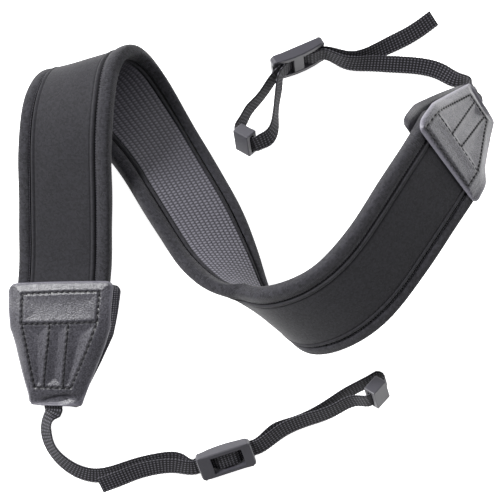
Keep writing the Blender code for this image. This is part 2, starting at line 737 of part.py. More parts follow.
def make_left_side(strip, group, guides):
    """Webbing, buckle and sleeve from the left tab."""
    inside = tab_stations(strip, True)
    tip = strip.at(0.0)[0]
    buckle = Buckle(place_point(LEFT_BUCKLE, tip, LEFT_LEAD, BUCKLE_WIDTH), LEFT_BUCKLE, 1)
    sleeve_at = place_point(LEFT_SLEEVE, buckle.origin, LEFT_LOOP, SLEEVE_WIDTH)
    sleeve = Sleeve(sleeve_at, LEFT_SLEEVE, 1)
    stations = inside + web_stations(LEFT_LEAD_ROWS, tip, LEFT_LEAD)
    stations += buckle.stations(False, LEFT_FOLLOWS)
    stations += web_stations(LEFT_LOOP_BEHIND_ROWS, buckle.origin, LEFT_LOOP)
    stations += sleeve.stations(LEFT_CURL)[::-1]
    stations += web_stations(LEFT_LOOP_FRONT_ROWS, buckle.origin, LEFT_LOOP)
    stations += buckle.stations(True, LEFT_FOLLOWS)[::-1]
    stations += web_stations(LEFT_TAIL_ROWS, buckle.origin, LEFT_TAIL)
    make_webbing("webbing_left", stations, group)
    make_buckle("buckle_left", buckle, group, guides)
    make_sleeve("keeper_left", sleeve, group, guides)


def make_right_side(strip, group, guides):
    """Webbing, buckle and sleeve from the right tab."""
    inside = tab_stations(strip, False)
    tip = strip.at(strip.length)[0]
    buckle = Buckle(place_point(RIGHT_BUCKLE, tip, RIGHT_LEAD, BUCKLE_WIDTH), RIGHT_BUCKLE, -1)
    sleeve_at = place_point(RIGHT_SLEEVE, buckle.origin, RIGHT_LOOP, SLEEVE_WIDTH)
    sleeve = Sleeve(sleeve_at, RIGHT_SLEEVE, 1)
    stations = inside + web_stations(RIGHT_LEAD_ROWS, tip, RIGHT_LEAD)
    stations += buckle.stations(False, RIGHT_FOLLOWS)
    stations += web_stations(RIGHT_LOOP_BEHIND_ROWS, buckle.origin, RIGHT_LOOP)
    stations += sleeve.stations(RIGHT_CURL)
    stations += web_stations(RIGHT_LOOP_FRONT_ROWS, buckle.origin, RIGHT_LOOP)
    stations += buckle.stations(True, RIGHT_FOLLOWS)[::-1]
    stations += web_stations(RIGHT_TAIL_ROWS, buckle.origin, RIGHT_TAIL)
    make_webbing("webbing_right", stations, group)
    make_buckle("buckle_right", buckle, group, guides)
    make_sleeve("keeper_right", sleeve, group, guides)


def centre_on_floor(group, guides):
    """Parents everything to an empty that brings the box's bottom centre to the origin."""
    bpy.context.view_layer.update()
    graph = bpy.context.evaluated_depsgraph_get()
    corners = []
    for item in group.objects:
        seen = item.evaluated_get(graph)
        mesh = seen.to_mesh()
        corners += [item.matrix_world @ vert.co for vert in mesh.vertices]
        seen.to_mesh_clear()
    corners = np.array(corners)
    low = corners.min(axis=0)
    high = corners.max(axis=0)
    base = bpy.data.objects.new("camera_neck_strap_origin", None)
    bpy.context.scene.collection.objects.link(base)
    for item in list(group.objects) + list(guides.objects):
        item.parent = base
    base.location = (-(low[0] + high[0]) / 2, -(low[1] + high[1]) / 2, -low[2])
    bpy.context.view_layer.update()


def build():
    """Makes the whole strap."""
    for item in list(bpy.data.objects):
        bpy.data.objects.remove(item, do_unlink=True)
    group = collection("camera_neck_strap")
    guides = collection("guides")
    strip = Strip()
    make_pad(strip, group)
    for side, left in (("left", True), ("right", False)):
        make_tab(strip, group, "tab_front_" + side, True, left)
        make_tab(strip, group, "tab_back_" + side, False, left)
    make_left_side(strip, group, guides)
    make_right_side(strip, group, guides)
    centre_on_floor(group, guides)


build()
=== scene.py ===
"""The looks of the camera neck strap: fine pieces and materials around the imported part. Metres, +Z up."""

from collections import namedtuple
from math import cos, pi, radians, sin

import bmesh
import bpy
import numpy as np
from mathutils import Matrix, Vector


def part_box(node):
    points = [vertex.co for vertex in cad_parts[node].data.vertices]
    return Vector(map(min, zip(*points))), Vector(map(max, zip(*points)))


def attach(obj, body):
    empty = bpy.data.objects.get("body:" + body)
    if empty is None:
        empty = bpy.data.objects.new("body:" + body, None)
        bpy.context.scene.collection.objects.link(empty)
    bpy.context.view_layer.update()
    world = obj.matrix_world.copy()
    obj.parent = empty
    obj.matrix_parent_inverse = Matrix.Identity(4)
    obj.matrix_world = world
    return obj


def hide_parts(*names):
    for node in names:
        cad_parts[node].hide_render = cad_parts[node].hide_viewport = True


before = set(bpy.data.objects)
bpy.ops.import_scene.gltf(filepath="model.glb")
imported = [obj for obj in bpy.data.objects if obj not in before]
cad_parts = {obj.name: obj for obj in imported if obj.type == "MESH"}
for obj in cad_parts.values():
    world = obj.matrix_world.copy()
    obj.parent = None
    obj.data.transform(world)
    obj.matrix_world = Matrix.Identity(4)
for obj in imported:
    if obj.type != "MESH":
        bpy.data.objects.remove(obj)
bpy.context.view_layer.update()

# Sizes and routes as in the CAD source, which can't be read here. The tabs' shifts, the patches' width and
# shoulders and some rows of the webbings differ from it by a few millimetres, to lie as in the photo.

# Padded strip
PAD_LENGTH = 0.464
PAD_WIDTH = 0.051
PAD_THICKNESS = 0.008
BINDING_WIDTH = 0.0068
CORE_RECESS = 0.0004
LINING_THICKNESS = 0.0012
LINING_RECESS = 0.0003
LINING_MARGIN = 0.0025
PAD_STEP = 0.0120
PAD_TURN = 0.42
# Leatherette tabs
TAB_LENGTH = 0.0654
TAB_OVERLAP = 0.0110
TAB_WIDE = 0.0536
TAB_SHOULDER = 0.0515
TAB_NARROW = 0.0261
TAB_CORNER = 0.0045
TAB_TIP_CORNER = 0.0012
TAB_EDGE_DROP = 0.0240
TAB_MOUTH = 0.0005
TAB_LEAD_OUT = 0.0030
LEATHER = 0.0015
# How the patches are sewn on: sideways shifts of the front one, the back one and the webbing's mouth,
# how much farther the wide end reaches onto the pad as a share of the tab's length, and its skew
Sewn = namedtuple("Sewn", "front_shift back_shift mouth_shift reach skew")
LEFT_TAB = Sewn(0.0006, 0.0030, 0.0, 0.0, 0.16)
RIGHT_TAB = Sewn(0.0, -0.0040, -0.0040, 0.042, 0.0)

# Webbing
WEBBING_WIDTH = 0.0100
WEBBING_THICKNESS = 0.0012
WEBBING_HIDDEN = 0.0220
# Buckles, with the length along the webbing
BUCKLE_LENGTH = 0.0304
BUCKLE_WIDTH = 0.0164
BUCKLE_THICKNESS = 0.0065
BUCKLE_TAB_BAR = 0.0074
BUCKLE_LOOP_BAR = 0.0056
BUCKLE_LEAD_OUT = 0.0018
SLOT_EXIT_ALONG = 0.0030
SLOT_EXIT_DROP = 0.0022
SLOT_EXIT_SPREAD = 0.0008
BUCKLE_CENTRE_BAR = 0.0060
CENTRE_BAR_THICKNESS = 0.0022

# Square sleeves, with the length along the webbing, and the step of the bend behind them in degrees
SLEEVE_LENGTH = 0.0102
SLEEVE_WIDTH = 0.0142
BEND_STEP = 30

GAP = 0.0003

# Rows of the strip's route, from the left tab's narrow end to the right one's: x, y, lift, azimuth, pitch.
# x and y are shares of the padded length, lift is how far the lower rim stands off the floor as a share of
# the padded width, azimuth and pitch are the direction from the left rim to the right rim, in degrees.
# The rows began as a fit to places read off the photo, and were then changed.
STRIP_ROUTE = (
    (-0.232, -0.184, -0.030, -5, 4),
    (-0.228, -0.140, 0.015, -5, 8),
    (-0.222, -0.092, 0.045, -4, 12),
    (-0.218, -0.045, 0.055, -4, 13),
    (-0.215, -0.010, 0.120, -4, 13),
    (-0.213, 0.026, 0.240, -5, 13),
    (-0.211, 0.075, 0.400, -6, 14),
    (-0.209, 0.125, 0.520, -6, 17),
    (-0.203, 0.176, 0.460, -3, 24),
    (-0.189, 0.210, 0.165, 10, 33),
    (-0.167, 0.202, 0.010, 31, 21),
    (-0.142, 0.167, 0.060, 34, -7),
    (-0.114, 0.126, 0.005, 30, -26),
    (-0.086, 0.081, 0.000, 29, -30),
    (-0.059, 0.036, 0.000, 25, -32),
    (-0.042, 0.005, 0.000, 14, -37),
    (-0.025, -0.023, 0.032, -3, -43),
    (-0.005, -0.050, 0.092, -21, -52),
    (0.015, -0.067, 0.260, -38, -52),
    (0.042, -0.078, 0.700, -50, -37),
    (0.079, -0.068, 0.950, -49, -31),
    (0.123, -0.034, 1.045, -44, -30),
    (0.157, 0.011, 1.025, -41, -30),
    (0.187, 0.056, 0.985, -42, -28),
    (0.210, 0.090, 0.880, -46, -26),
    (0.231, 0.119, 0.600, -50, -22),
    (0.252, 0.147, 0.260, -54, -18),
    (0.271, 0.172, -0.060, -55, -17),
)

# Rows of the webbings' routes: x, y, lift, azimuth, pitch. x and y are shares of the plan distance of the
# stretch, lift is how far the lower edge stands off the floor as a share of the webbing's width, azimuth
# and pitch are the direction across the webbing, in degrees.

# A fitting's place: x and y as above, height of its middle above the floor as a share of its own width,
# the direction along the webbing and the direction across it, in degrees.
Place = namedtuple("Place", "x y height azimuth pitch across_azimuth across_pitch")

LEFT_LEAD_ROWS = (
    (-0.024, -0.060, 0.10, -4, 38),
    (-0.040, -0.135, 0.05, 2, 47),
    (-0.015, -0.225, 0.05, 26, 48),
    (0.055, -0.310, 0.05, 48, 42),
    (0.155, -0.370, 0.05, 68, 34),
    (0.250, -0.385, 0.08, 86, 30),
    (0.360, -0.360, 0.12, 100, 32),
    (0.470, -0.325, 0.15, 105, 30),
    (0.600, -0.297, 0.15, 105, 30),
    (0.720, -0.304, 0.14, 107, 32),
)
LEFT_BUCKLE = Place(0.954, -0.288, 0.43, 18, 0, 108, 33)
LEFT_LOOP_BEHIND_ROWS = (
    (0.305, 0.147, 0.10, 110, 33),
    (0.420, 0.192, 0.06, 110, 35),
    (0.520, 0.234, 0.06, 110, 38),
    (0.630, 0.300, 0.06, 110, 43),
    (0.745, 0.378, 0.06, 110, 46),
)
LEFT_SLEEVE = Place(0.933, 0.393, 0.74, 45, -22, 111, 47)
LEFT_LOOP_FRONT_ROWS = (
    (0.810, 0.340, 0.50, 111, 45),
    (0.672, 0.280, 0.36, 110, 42),
    (0.506, 0.218, 0.24, 110, 38),
    (0.338, 0.142, 0.24, 110, 34),
)
LEFT_TAIL_ROWS = (
    (-0.370, -0.084, 0.34, 107, 32),
    (-0.530, -0.090, 0.42, 105, 29),
    (-0.680, -0.126, 0.46, 106, 26),
    (-0.800, -0.172, 0.48, 106, 25),
    (-0.955, -0.231, 0.44, 96, 25),
)

RIGHT_LEAD_ROWS = (
    (-0.036, 0.086, 0.14, -24, -58),
    (-0.060, 0.121, 0.04, 228, -74),
    (-0.118, 0.131, 0.05, 252, -44),
    (-0.200, 0.170, 0.08, 256, -31),
    (-0.276, 0.196, 0.11, 258, -30),
    (-0.366, 0.208, 0.15, 262, -30),
    (-0.473, 0.213, 0.20, 266, -31),
    (-0.600, 0.215, 0.30, 268, -38),
    (-0.740, 0.224, 0.50, 273, -55),
)
RIGHT_BUCKLE = Place(-0.972, 0.230, 0.64, 204, 7, 277, -62)
RIGHT_LOOP_BEHIND_ROWS = (
    (-0.240, -0.240, 0.72, -34, -68),
    (-0.262, -0.400, 0.70, -24, -72),
    (-0.276, -0.560, 0.72, -20, -70),
    (-0.292, -0.690, 0.86, -32, -56),
    (-0.348, -0.790, 1.06, -58, -38),
    (-0.435, -0.842, 1.16, -74, -38),
)
RIGHT_SLEEVE = Place(-0.600, -0.818, 0.82, 149, -30, -81, -48)
RIGHT_LOOP_FRONT_ROWS = (
    (-0.625, -0.590, 0.20, -62, -58),
    (-0.560, -0.480, 0.28, -54, -62),
    (-0.460, -0.370, 0.46, -46, -66),
    (-0.360, -0.240, 0.64, -48, -66),
)
RIGHT_TAIL_ROWS = (
    (0.330, 0.052, 0.36, 274, -50),
    (0.480, 0.082, 0.20, 279, -38),
    (0.615, 0.146, 0.10, 290, -28),
    (0.770, 0.226, 0.10, 300, -26),
    (0.925, 0.336, 0.10, 306, -26),
)

# One side's webbing. faces says which way the buckle's back lies. follows is the share of the two end bars,
# on the tab side and the loop side, that the webbing follows before it leaves the buckle. lead, loop and
# tail are plan distances from tab to buckle, buckle to sleeve and buckle to cut end. The bend behind the
# sleeve has a radius and a sweep in degrees, and it is run through backwards where backwards says so.
Side = namedtuple("Side", "buckle sleeve faces follows radius sweep backwards lead loop tail rows")
LEFT_SIDE = Side(
    LEFT_BUCKLE, LEFT_SLEEVE, faces=1, follows=(1.0, 1.0), radius=0.0036, sweep=170, backwards=True,
    lead=0.0975, loop=0.0875, tail=0.0700,
    rows=(LEFT_LEAD_ROWS, LEFT_LOOP_BEHIND_ROWS, LEFT_LOOP_FRONT_ROWS, LEFT_TAIL_ROWS),
)
RIGHT_SIDE = Side(
    RIGHT_BUCKLE, RIGHT_SLEEVE, faces=-1, follows=(0.5, 0.0), radius=0.0030, sweep=80, backwards=False,
    lead=0.1008, loop=0.0495, tail=0.0780,
    rows=(RIGHT_LEAD_ROWS, RIGHT_LOOP_BEHIND_ROWS, RIGHT_LOOP_FRONT_ROWS, RIGHT_TAIL_ROWS),
)


def direction(azimuth, pitch):
    """Unit vector at an azimuth and a pitch in degrees."""
    a = radians(azimuth)
    p = radians(pitch)
    return np.array([cos(a) * cos(p), sin(a) * cos(p), sin(p)])


def unit(vector):
    """Vectors along the last axis at length one."""
    vector = np.asarray(vector, dtype=float)
    return vector / np.linalg.norm(vector, axis=-1, keepdims=True)


def squared(across, along):
    """Directions across, turned square to the ones along."""
    return unit(across - np.sum(across * along, axis=-1, keepdims=True) * along)


def running_length(points):
    """Length along a chain of points, from zero."""
    return np.concatenate([[0.0], np.cumsum(np.linalg.norm(np.diff(points, axis=0), axis=1))])


class Spline:
    """Natural cubic curve through points of any dimension, by chord length."""

    def __init__(self, points, chord=None):
        self.points = np.asarray(points, dtype=float)
        if chord is None:
            chord = running_length(self.points)
        self.chord = chord
        h = np.diff(chord)
        count = len(chord)
        matrix = np.eye(count)
        right = np.zeros_like(self.points)
        slopes = np.diff(self.points, axis=0) / h[:, None]
        for i in range(1, count - 1):
            matrix[i, i - 1] = h[i - 1]
            matrix[i, i] = 2 * (h[i - 1] + h[i])
            matrix[i, i + 1] = h[i]
            right[i] = 6 * (slopes[i] - slopes[i - 1])
        self.bend = np.linalg.solve(matrix, right)

    def at(self, places):
        """Points of the curve at the given chord lengths, which may lie a little outside."""
        places = np.atleast_1d(places)
        i = np.clip(np.searchsorted(self.chord, places, side="right") - 1, 0, len(self.chord) - 2)
        h = (self.chord[i + 1] - self.chord[i])[:, None]
        b = ((places - self.chord[i])[:, None]) / h
        a = 1 - b
        line = a * self.points[i] + b * self.points[i + 1]
        curve = ((a ** 3 - a) * self.bend[i] + (b ** 3 - b) * self.bend[i + 1]) * h ** 2 / 6
        return line + curve


def frames_along(points, across):
    """Tangent, across and normal at each point, from the points and rough across directions."""
    tangent = unit(np.gradient(points, axis=0))
    across = squared(across, tangent)
    return tangent, across, np.cross(across, tangent)


def strip_points(scale):
    """Centre of the strip at each row of the route, with the plan scaled."""
    rim = PAD_WIDTH / 2 - PAD_THICKNESS / 2
    points = []
    for x, y, lift, _, pitch in STRIP_ROUTE:
        height = lift * PAD_WIDTH + rim * abs(sin(radians(pitch))) + PAD_THICKNESS / 2
        points.append((x * PAD_LENGTH * scale, y * PAD_LENGTH * scale, height))
    return np.array(points)


class Strip:
    """The strip's centre line, as long as the pad and both tabs together, with its frames."""

    def __init__(self):
        self.length = PAD_LENGTH + 2 * (TAB_LENGTH - TAB_OVERLAP)
        across = np.array([direction(azimuth, pitch) for _, _, _, azimuth, pitch in STRIP_ROUTE])
        scale = 1.0
        for _ in range(12):
            spline = Spline(strip_points(scale))
            fine = np.linspace(0, spline.chord[-1], 1200)
            points = spline.at(fine)
            run = running_length(points)
            scale *= self.length / run[-1]
        self.run = run
        self.points = points
        turn = Spline(across, spline.chord)
        self.tangent, self.across, self.normal = frames_along(points, turn.at(fine))
        turning = running_length(self.across) + running_length(self.tangent)
        self.effort = run / PAD_STEP + turning / PAD_TURN

    def at(self, s):
        """Point, tangent, across and normal at one or many lengths s from the left narrow end."""
        values = []
        for table in (self.points, self.tangent, self.across, self.normal):
            values.append(np.stack([np.interp(s, self.run, table[:, k]) for k in range(3)], axis=-1))
        return values[0], unit(values[1]), unit(values[2]), unit(values[3])

    def stations(self, start, end):
        """Lengths from start to end, closer together where the strip bends and twists."""
        first, last = np.interp((start, end), self.run, self.effort)
        steps = max(2, round(last - first))
        return np.interp(np.linspace(first, last, steps + 1), self.effort, self.run)


def core_section():
    """The foam core between the bindings, with softened outer corners."""
    half = PAD_WIDTH / 2 - BINDING_WIDTH - GAP
    top = PAD_THICKNESS / 2 - CORE_RECESS
    bottom = -PAD_THICKNESS / 2 + LINING_RECESS + LINING_THICKNESS + GAP
    soft = (top - bottom) / 5
    return [(-half, bottom), (0.0, bottom), (half, bottom), (half, top - soft), (half - soft, top),
            (0.0, top), (-half + soft, top), (-half, top - soft)]


def smooth_step(x):
    """Eases from 0 to 1 as x goes from 0 to 1, for a number or an array."""
    x = np.clip(x, 0.0, 1.0)
    return x * x * (3 - 2 * x)


def fitting_frame(place, faces):
    """Directions along and across a fitting, and out of its face."""
    along = direction(place.azimuth, place.pitch)
    across = squared(direction(place.across_azimuth, place.across_pitch), along)
    return along, across, faces * np.cross(along, across)


class Buckle:
    """A ladder buckle's place and the levels of the two plies in it."""

    def __init__(self, origin, place, faces):
        self.along, self.across, self.face = fitting_frame(place, faces)
        self.origin = origin - self.face * BUCKLE_THICKNESS / 2
        half = BUCKLE_LENGTH / 2
        self.bar_tab = -half + BUCKLE_TAB_BAR
        self.bar_loop = half - BUCKLE_LOOP_BAR
        slot = (self.bar_loop - self.bar_tab - BUCKLE_CENTRE_BAR) / 2
        self.bar_start = self.bar_tab + slot
        self.bar_end = self.bar_loop - slot
        self.low = WEBBING_THICKNESS / 2 + GAP
        self.high = CENTRE_BAR_THICKNESS + GAP + WEBBING_THICKNESS / 2
        self.ply = WEBBING_THICKNESS + GAP

    def level(self, u):
        """Height of the lower ply at u, under the end bars and over the centre bar."""
        if u < self.bar_start:
            share = (u - self.bar_tab) / (self.bar_start - self.bar_tab)
        else:
            share = (self.bar_loop - u) / (self.bar_loop - self.bar_end)
        return self.low + (self.high - self.low) * smooth_step(share)

    def point(self, u, w):
        """World point at u along and w above the back, on the middle line."""
        return self.origin + u * self.along + w * self.face

    def stations(self, upper, follows):
        """Webbing stations through the buckle from the tab side to the loop side."""
        reach = BUCKLE_LENGTH / 2
        start = self.bar_tab - follows[0] * (reach + self.bar_tab)
        end = self.bar_loop + follows[1] * (reach - self.bar_loop)
        places = [start, (start + self.bar_tab) / 2] if follows[0] else []
        places += list(np.linspace(self.bar_tab, self.bar_start, 6))
        places += list(np.linspace(self.bar_start, self.bar_end, 4)[1:])
        places += list(np.linspace(self.bar_end, self.bar_loop, 6)[1:6 if follows[1] else 4])
        places += [(end + self.bar_loop) / 2, end] if follows[1] else []
        lift = self.ply if upper else 0.0
        found = []
        for u in places:
            rise = (self.level(u + GAP) - self.level(u - GAP)) / (2 * GAP)
            length = (1 + rise ** 2) ** 0.5
            found.append((self.point(u - lift * rise / length, self.level(u) + lift / length), self.across))
        if follows[0] == 1:
            found.insert(0, (self.point(start - BUCKLE_LEAD_OUT, self.low + lift), self.across))
        if follows[1]:
            found.append((self.point(end + BUCKLE_LEAD_OUT, self.low + lift), self.across))
        else:
            onward = np.array([SLOT_EXIT_ALONG, -SLOT_EXIT_DROP])
            beside = (lift + SLOT_EXIT_SPREAD * upper) * unit([SLOT_EXIT_DROP, SLOT_EXIT_ALONG])
            u, w = np.array([end, self.low]) + onward + beside
            found.append((self.point(u, w), self.across))
        return found


def sleeve_stations(origin, place, radius, sweep):
    """Webbing stations through a square sleeve and round the bend behind its far end."""
    along, across, face = fitting_frame(place, 1)
    half = SLEEVE_LENGTH / 2 + 2 * GAP
    found = [(origin + share * half * along, across) for share in (-1.0, -0.5, 0.0, 0.5, 1.0)]
    centre = origin + half * along - radius * face
    steps = round(sweep / BEND_STEP)
    for i in range(1, steps + 1):
        turn = radians(sweep * i / steps)
        found.append((centre + radius * (cos(turn) * face + sin(turn) * along), across))
    return found


def web_stations(rows, start, reach):
    """Stations of a table of webbing rows, from the plan point that they are measured from."""
    found = []
    for x, y, lift, azimuth, pitch in rows:
        lean = radians(pitch)
        height = lift * WEBBING_WIDTH + WEBBING_WIDTH / 2 * abs(sin(lean))
        height += WEBBING_THICKNESS / 2 * abs(cos(lean))
        point = np.array([start[0] + x * reach, start[1] + y * reach, height])
        found.append((point, direction(azimuth, pitch)))
    return found


def place_point(place, start, reach, width):
    """World point of a fitting."""
    return np.array([start[0] + place.x * reach, start[1] + place.y * reach, place.height * width])


def tab_stations(strip, at_left):
    """Webbing stations inside a tab, towards its narrow end, and one just beyond it."""
    shift = LEFT_TAB.mouth_shift if at_left else RIGHT_TAB.mouth_shift
    found = []
    for share in (1.0, 0.6, 0.3, 0.12, 0.0):
        inside = share * WEBBING_HIDDEN
        point, tangent, across, _ = strip.at(inside if at_left else strip.length - inside)
        found.append((point + shift * (1 - share) ** 2 * across, across))
    onward = unit((-1 if at_left else 1) * tangent + 2 * shift / WEBBING_HIDDEN * across)
    found.append((found[-1][0] + TAB_LEAD_OUT * onward, across))
    return found


# The pad's cover: rings, finely stepped band at each side, crown, rim, crease, groove and slow swell
COVER_STEP = 0.0010
COVER_BAND = 0.0040
CROWN = 0.0004
RIM_INSET = 0.0017
RIM_WIDTH = 0.0008
RIM_HEIGHT = 0.00040
CREASE_INSET = 0.0030
CREASE_WIDTH = 0.0004
CREASE_DEPTH = 0.00030
GROOVE_WIDTH = 0.0006
GROOVE_DEPTH = 0.0016
COVER_SWELL = 0.00012
COVER_WAVE = 0.0075
SWELL_INSET = 0.006
# The cover's side, tucked into the binding, and the roll of its underside as pairs of inset and depth
TUCK_REACH = 0.0012
TUCK_LEVELS = (0.0018, -0.0014)
UNDER_ROLL = ((0.0, 0.0002), (0.0004, 0.0008), (0.0009, 0.0014), (0.0015, 0.0016), (0.0021, 0.0012))

# Knit bindings, and the stitches in the seam beside them
KNIT_RIB = 0.0008
KNIT_RELIEF = 0.00007
KNIT_SWELL = 0.00012
KNIT_WAVE = 0.0061
ROLL_INSET = 0.0026
ROLL_POWER = 0.62
SEAM_STITCH = 0.00135
SEAM_LEVEL = 0.0030
SEAM_THREAD_LENGTH = 0.0010
SEAM_THREAD_WIDTH = 0.0006

# Woven lining
GRIP_COLUMN = 0.00245
GRIP_ROW = 0.00162
GRIP_RELIEF = 0.00050
GRIP_EDGE = 0.0008

# Webbing's weave
WEB_RIB = 0.00178
WEB_ROWS = 6
WEB_RELIEF = 0.00026
WEB_SCALLOP = 0.00022
WEB_MARGIN = 0.0006
WEB_SINK = 0.00020

# Outer patches: how far the shoulders lie from the wide end on either side, and their relief
LEFT_SHOULDERS = (0.0250, 0.0250)
RIGHT_SHOULDERS = (0.0145, 0.0200)
PATCH_SPREAD = 1.03
PATCH_EDGE = 0.0010
PANEL_EASE = 0.0080
PANEL_SINK = 0.00260
BAND_SINK = 0.00075
MARGIN_RISE = 0.00175
MARGIN_REACH = 0.0070
RELIEF_EASE = 0.0016
LEATHER_SWELL = 0.00006
LEATHER_WAVE = 0.0019
# Painted highlight along the patches' edges and on the fold at the narrow end: its width at the edges, its
# strength at the fold and the fold's width
EDGE_HIGHLIGHT = 0.0009
FOLD_HIGHLIGHT = 0.9
FOLD_WIDTH = 0.0018
CHANNEL_WIDTH = 0.00080
CHANNEL_DEPTH = 0.00080
PULL_DIP = 0.18
TAB_STITCH = 0.0031
STITCH_SHARE = 0.78
STITCH_WIDTH = 0.00110
STITCH_SUNK = 0.00012
# The pinched fold at the narrow end: where it lies across and along, as shares, and its size
LEFT_PINCH = (0.02, 0.945)
RIGHT_PINCH = (-0.05, 0.97)
PINCH_SLANT = 0.18
PINCH_WIDTH = 0.0085
PINCH_LENGTH = 0.0022
PINCH_DEPTH = 0.0026
# How far each corner of an outer patch is pulled from its plain shape: across it, as a share of its width,
# and toward the pad, as a share of its length
Nudge = namedtuple("Nudge", "wide_low wide_high tip_low tip_high")
LEFT_NUDGE = Nudge((-0.045, 0.055), (0.030, 0.065), (0.010, -0.020), (0.035, 0.040))
RIGHT_NUDGE = Nudge((-0.030, 0.035), (-0.035, 0.045), (0.000, 0.035), (-0.020, 0.005))
MM = 1000.0
# The coarse grain of the left inner patch, in millimetres: pitches, where painted shade has hidden it and
# over how far it fades out
DOT_ROW = 1.15
DOT_COLUMN = 1.25
DOTS_SHADED_AT = 34.0
DOTS_SHADE_FADE = 12.0
# Painted light: the lining's dashes are painted lighter past this length of the strip and over this stretch,
# in millimetres
LINING_PAINTED_LIGHT_FROM = 200.0
LINING_PAINTED_LIGHT_OVER = 145.0

# Stage and camera, in metres, and the lamps with their places, powers in watts and widths
FLOOR_LEVEL = -0.0008
FLOOR_REACH = 4.0
FLOOR_GLOW = 0.95
SKY_STRENGTH = 0.20
CAMERA_HEIGHT = 0.760
CAMERA_LENS = 100.8
LAMPS = (
    ("key", (-2.10, 1.10, 2.00), 200.0, 0.7),
    ("side", (1.60, 1.50, 2.2), 42.0, 1.3),
)
WHITE = (1.0, 1.0, 1.0, 1.0)
HARDWARE_EDGE = 0.0004
HARDWARE_ANGLE = 35

# The stitch lines of each outer patch run between three rows. A row has its two ends across the patch, as
# shares of the wide end's width, and their distances from the wide end, as shares of the patch's length.
# The lower two also have the places across where the two inner lines meet them. The numbers are rounded
# from ones that a script worked out from places read off the photo.
SeamRow = namedtuple("SeamRow", "left right left_along right_along first second", defaults=(None, None))
Seams = namedtuple("Seams", "top mid tip")
LEFT_SEAMS = Seams(
    SeamRow(-0.36, 0.39, 0.09, 0.09),
    SeamRow(-0.36, 0.38, 0.335, 0.335, -0.08, 0.10),
    SeamRow(-0.21, 0.15, 0.845, 0.84, -0.12, 0.07),
)
RIGHT_SEAMS = Seams(
    SeamRow(-0.435, 0.305, 0.025, 0.025),
    SeamRow(-0.41, 0.31, 0.18, 0.22, -0.15, 0.01),
    SeamRow(-0.19, 0.135, 0.84, 0.86, -0.10, 0.09),
)
TOP_LEFT, TOP_RIGHT = ("top", "left"), ("top", "right")
MID_LEFT, MID_RIGHT = ("mid", "left"), ("mid", "right")
TIP_LEFT, TIP_RIGHT = ("tip", "left"), ("tip", "right")
FIRST_TOP, FIRST_TIP = ("mid", "first"), ("tip", "first")
SECOND_TOP, SECOND_TIP = ("mid", "second"), ("tip", "second")
SEAM_LINES = (
    (TOP_LEFT, TOP_RIGHT), (TOP_RIGHT, MID_RIGHT), (MID_RIGHT, TIP_RIGHT),
    (TIP_RIGHT, TIP_LEFT), (TIP_LEFT, MID_LEFT), (MID_LEFT, TOP_LEFT),
    (MID_LEFT, MID_RIGHT), (FIRST_TOP, FIRST_TIP), (SECOND_TOP, SECOND_TIP),
)
SEAM_OUTLINE = (TOP_LEFT, TOP_RIGHT, MID_RIGHT, TIP_RIGHT, TIP_LEFT, MID_LEFT)
BAND = (TOP_LEFT, TOP_RIGHT, MID_RIGHT, MID_LEFT)
FANS = (
    (MID_LEFT, FIRST_TOP, FIRST_TIP, TIP_LEFT),
    (FIRST_TOP, SECOND_TOP, SECOND_TIP, FIRST_TIP),
    (SECOND_TOP, MID_RIGHT, TIP_RIGHT, SECOND_TIP),
)

strip = Strip()
pad_start = TAB_LENGTH - TAB_OVERLAP
pad_end = pad_start + PAD_LENGTH


def core_corner():
    """Lowest corner of the core as the CAD source places it before it is centred."""
    corners = []
    for s in strip.stations(pad_start, pad_end):
        point, _, across, normal = strip.at(s)
        corners += [point + u * across + v * normal for u, v in core_section()]
    return np.array(corners).min(axis=0)


shift = np.array(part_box("neck_pad")[0]) - core_corner()


def frames_at(places):
    """Point, across and normal along the strip, at one or many lengths."""
    point, _, across, normal = strip.at(places)
    return point + shift, across, normal


def marked(u, s, mark):
    """The place attribute: across and along in millimetres, and a mark for the material."""
    return np.stack(np.broadcast_arrays(u * MM, s * MM, mark), axis=-1)


def new_mesh(name, points, faces, look, replaced=(), place=None):
    """A mesh piece that rides on the root, with its finish and the places that its material reads."""
    mesh = bpy.data.meshes.new(name)
    mesh.from_pydata(points.tolist(), [], faces)
    mesh.validate()
    if place is not None:
        layer = mesh.attributes.new("place", "FLOAT_VECTOR", "POINT")
        layer.data.foreach_set("vector", np.asarray(place, np.float32).ravel())
    mesh.shade_smooth()
    mesh.materials.append(look)
    made = bpy.data.objects.new(name, mesh)
    bpy.context.scene.collection.objects.link(made)
    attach(made, "root")
    if replaced:
        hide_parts(*replaced)
    return made


def ring_faces(rows, count):
    """Quads of a closed tube of rows with count points each, and its two end faces."""
    first = np.arange(rows - 1)[:, None] * count + np.arange(count)
    nextdoor = np.arange(rows - 1)[:, None] * count + (np.arange(count) + 1) % count
    quads = np.stack([first, nextdoor, nextdoor + count, first + count], axis=-1).reshape(-1, 4)
    faces = quads.tolist()
    faces.append(list(range(count))[::-1])
    faces.append(list(range((rows - 1) * count, rows * count)))
    return faces


def tube(name, grid, look, replaced=(), place=None):
    """A closed piece through rings of points, an array of rings by points by three."""
    rows, count = grid.shape[:2]
    flat = grid.reshape(-1, 3)
    marks = None if place is None else place.reshape(-1, 3)
    made = new_mesh(name, flat, ring_faces(rows, count), look, replaced, marks)
    fix_normals(made)
    return made


def fix_normals(made):
    """Turns the faces outwards."""
    bm = bmesh.new()
    bm.from_mesh(made.data)
    bmesh.ops.recalc_face_normals(bm, faces=bm.faces)
    bm.to_mesh(made.data)
    bm.free()


def bump_at(x, centre, width):
    """A smooth bump of height one."""
    return np.exp(-((x - centre) / width) ** 2)


def carried(places, section_u, section_v):
    """Rings of a section at many places along the strip; u and v are arrays of places by points."""
    point, across, normal = frames_at(places)
    return (point[:, None] + section_u[..., None] * across[:, None]
            + section_v[..., None] * normal[:, None])


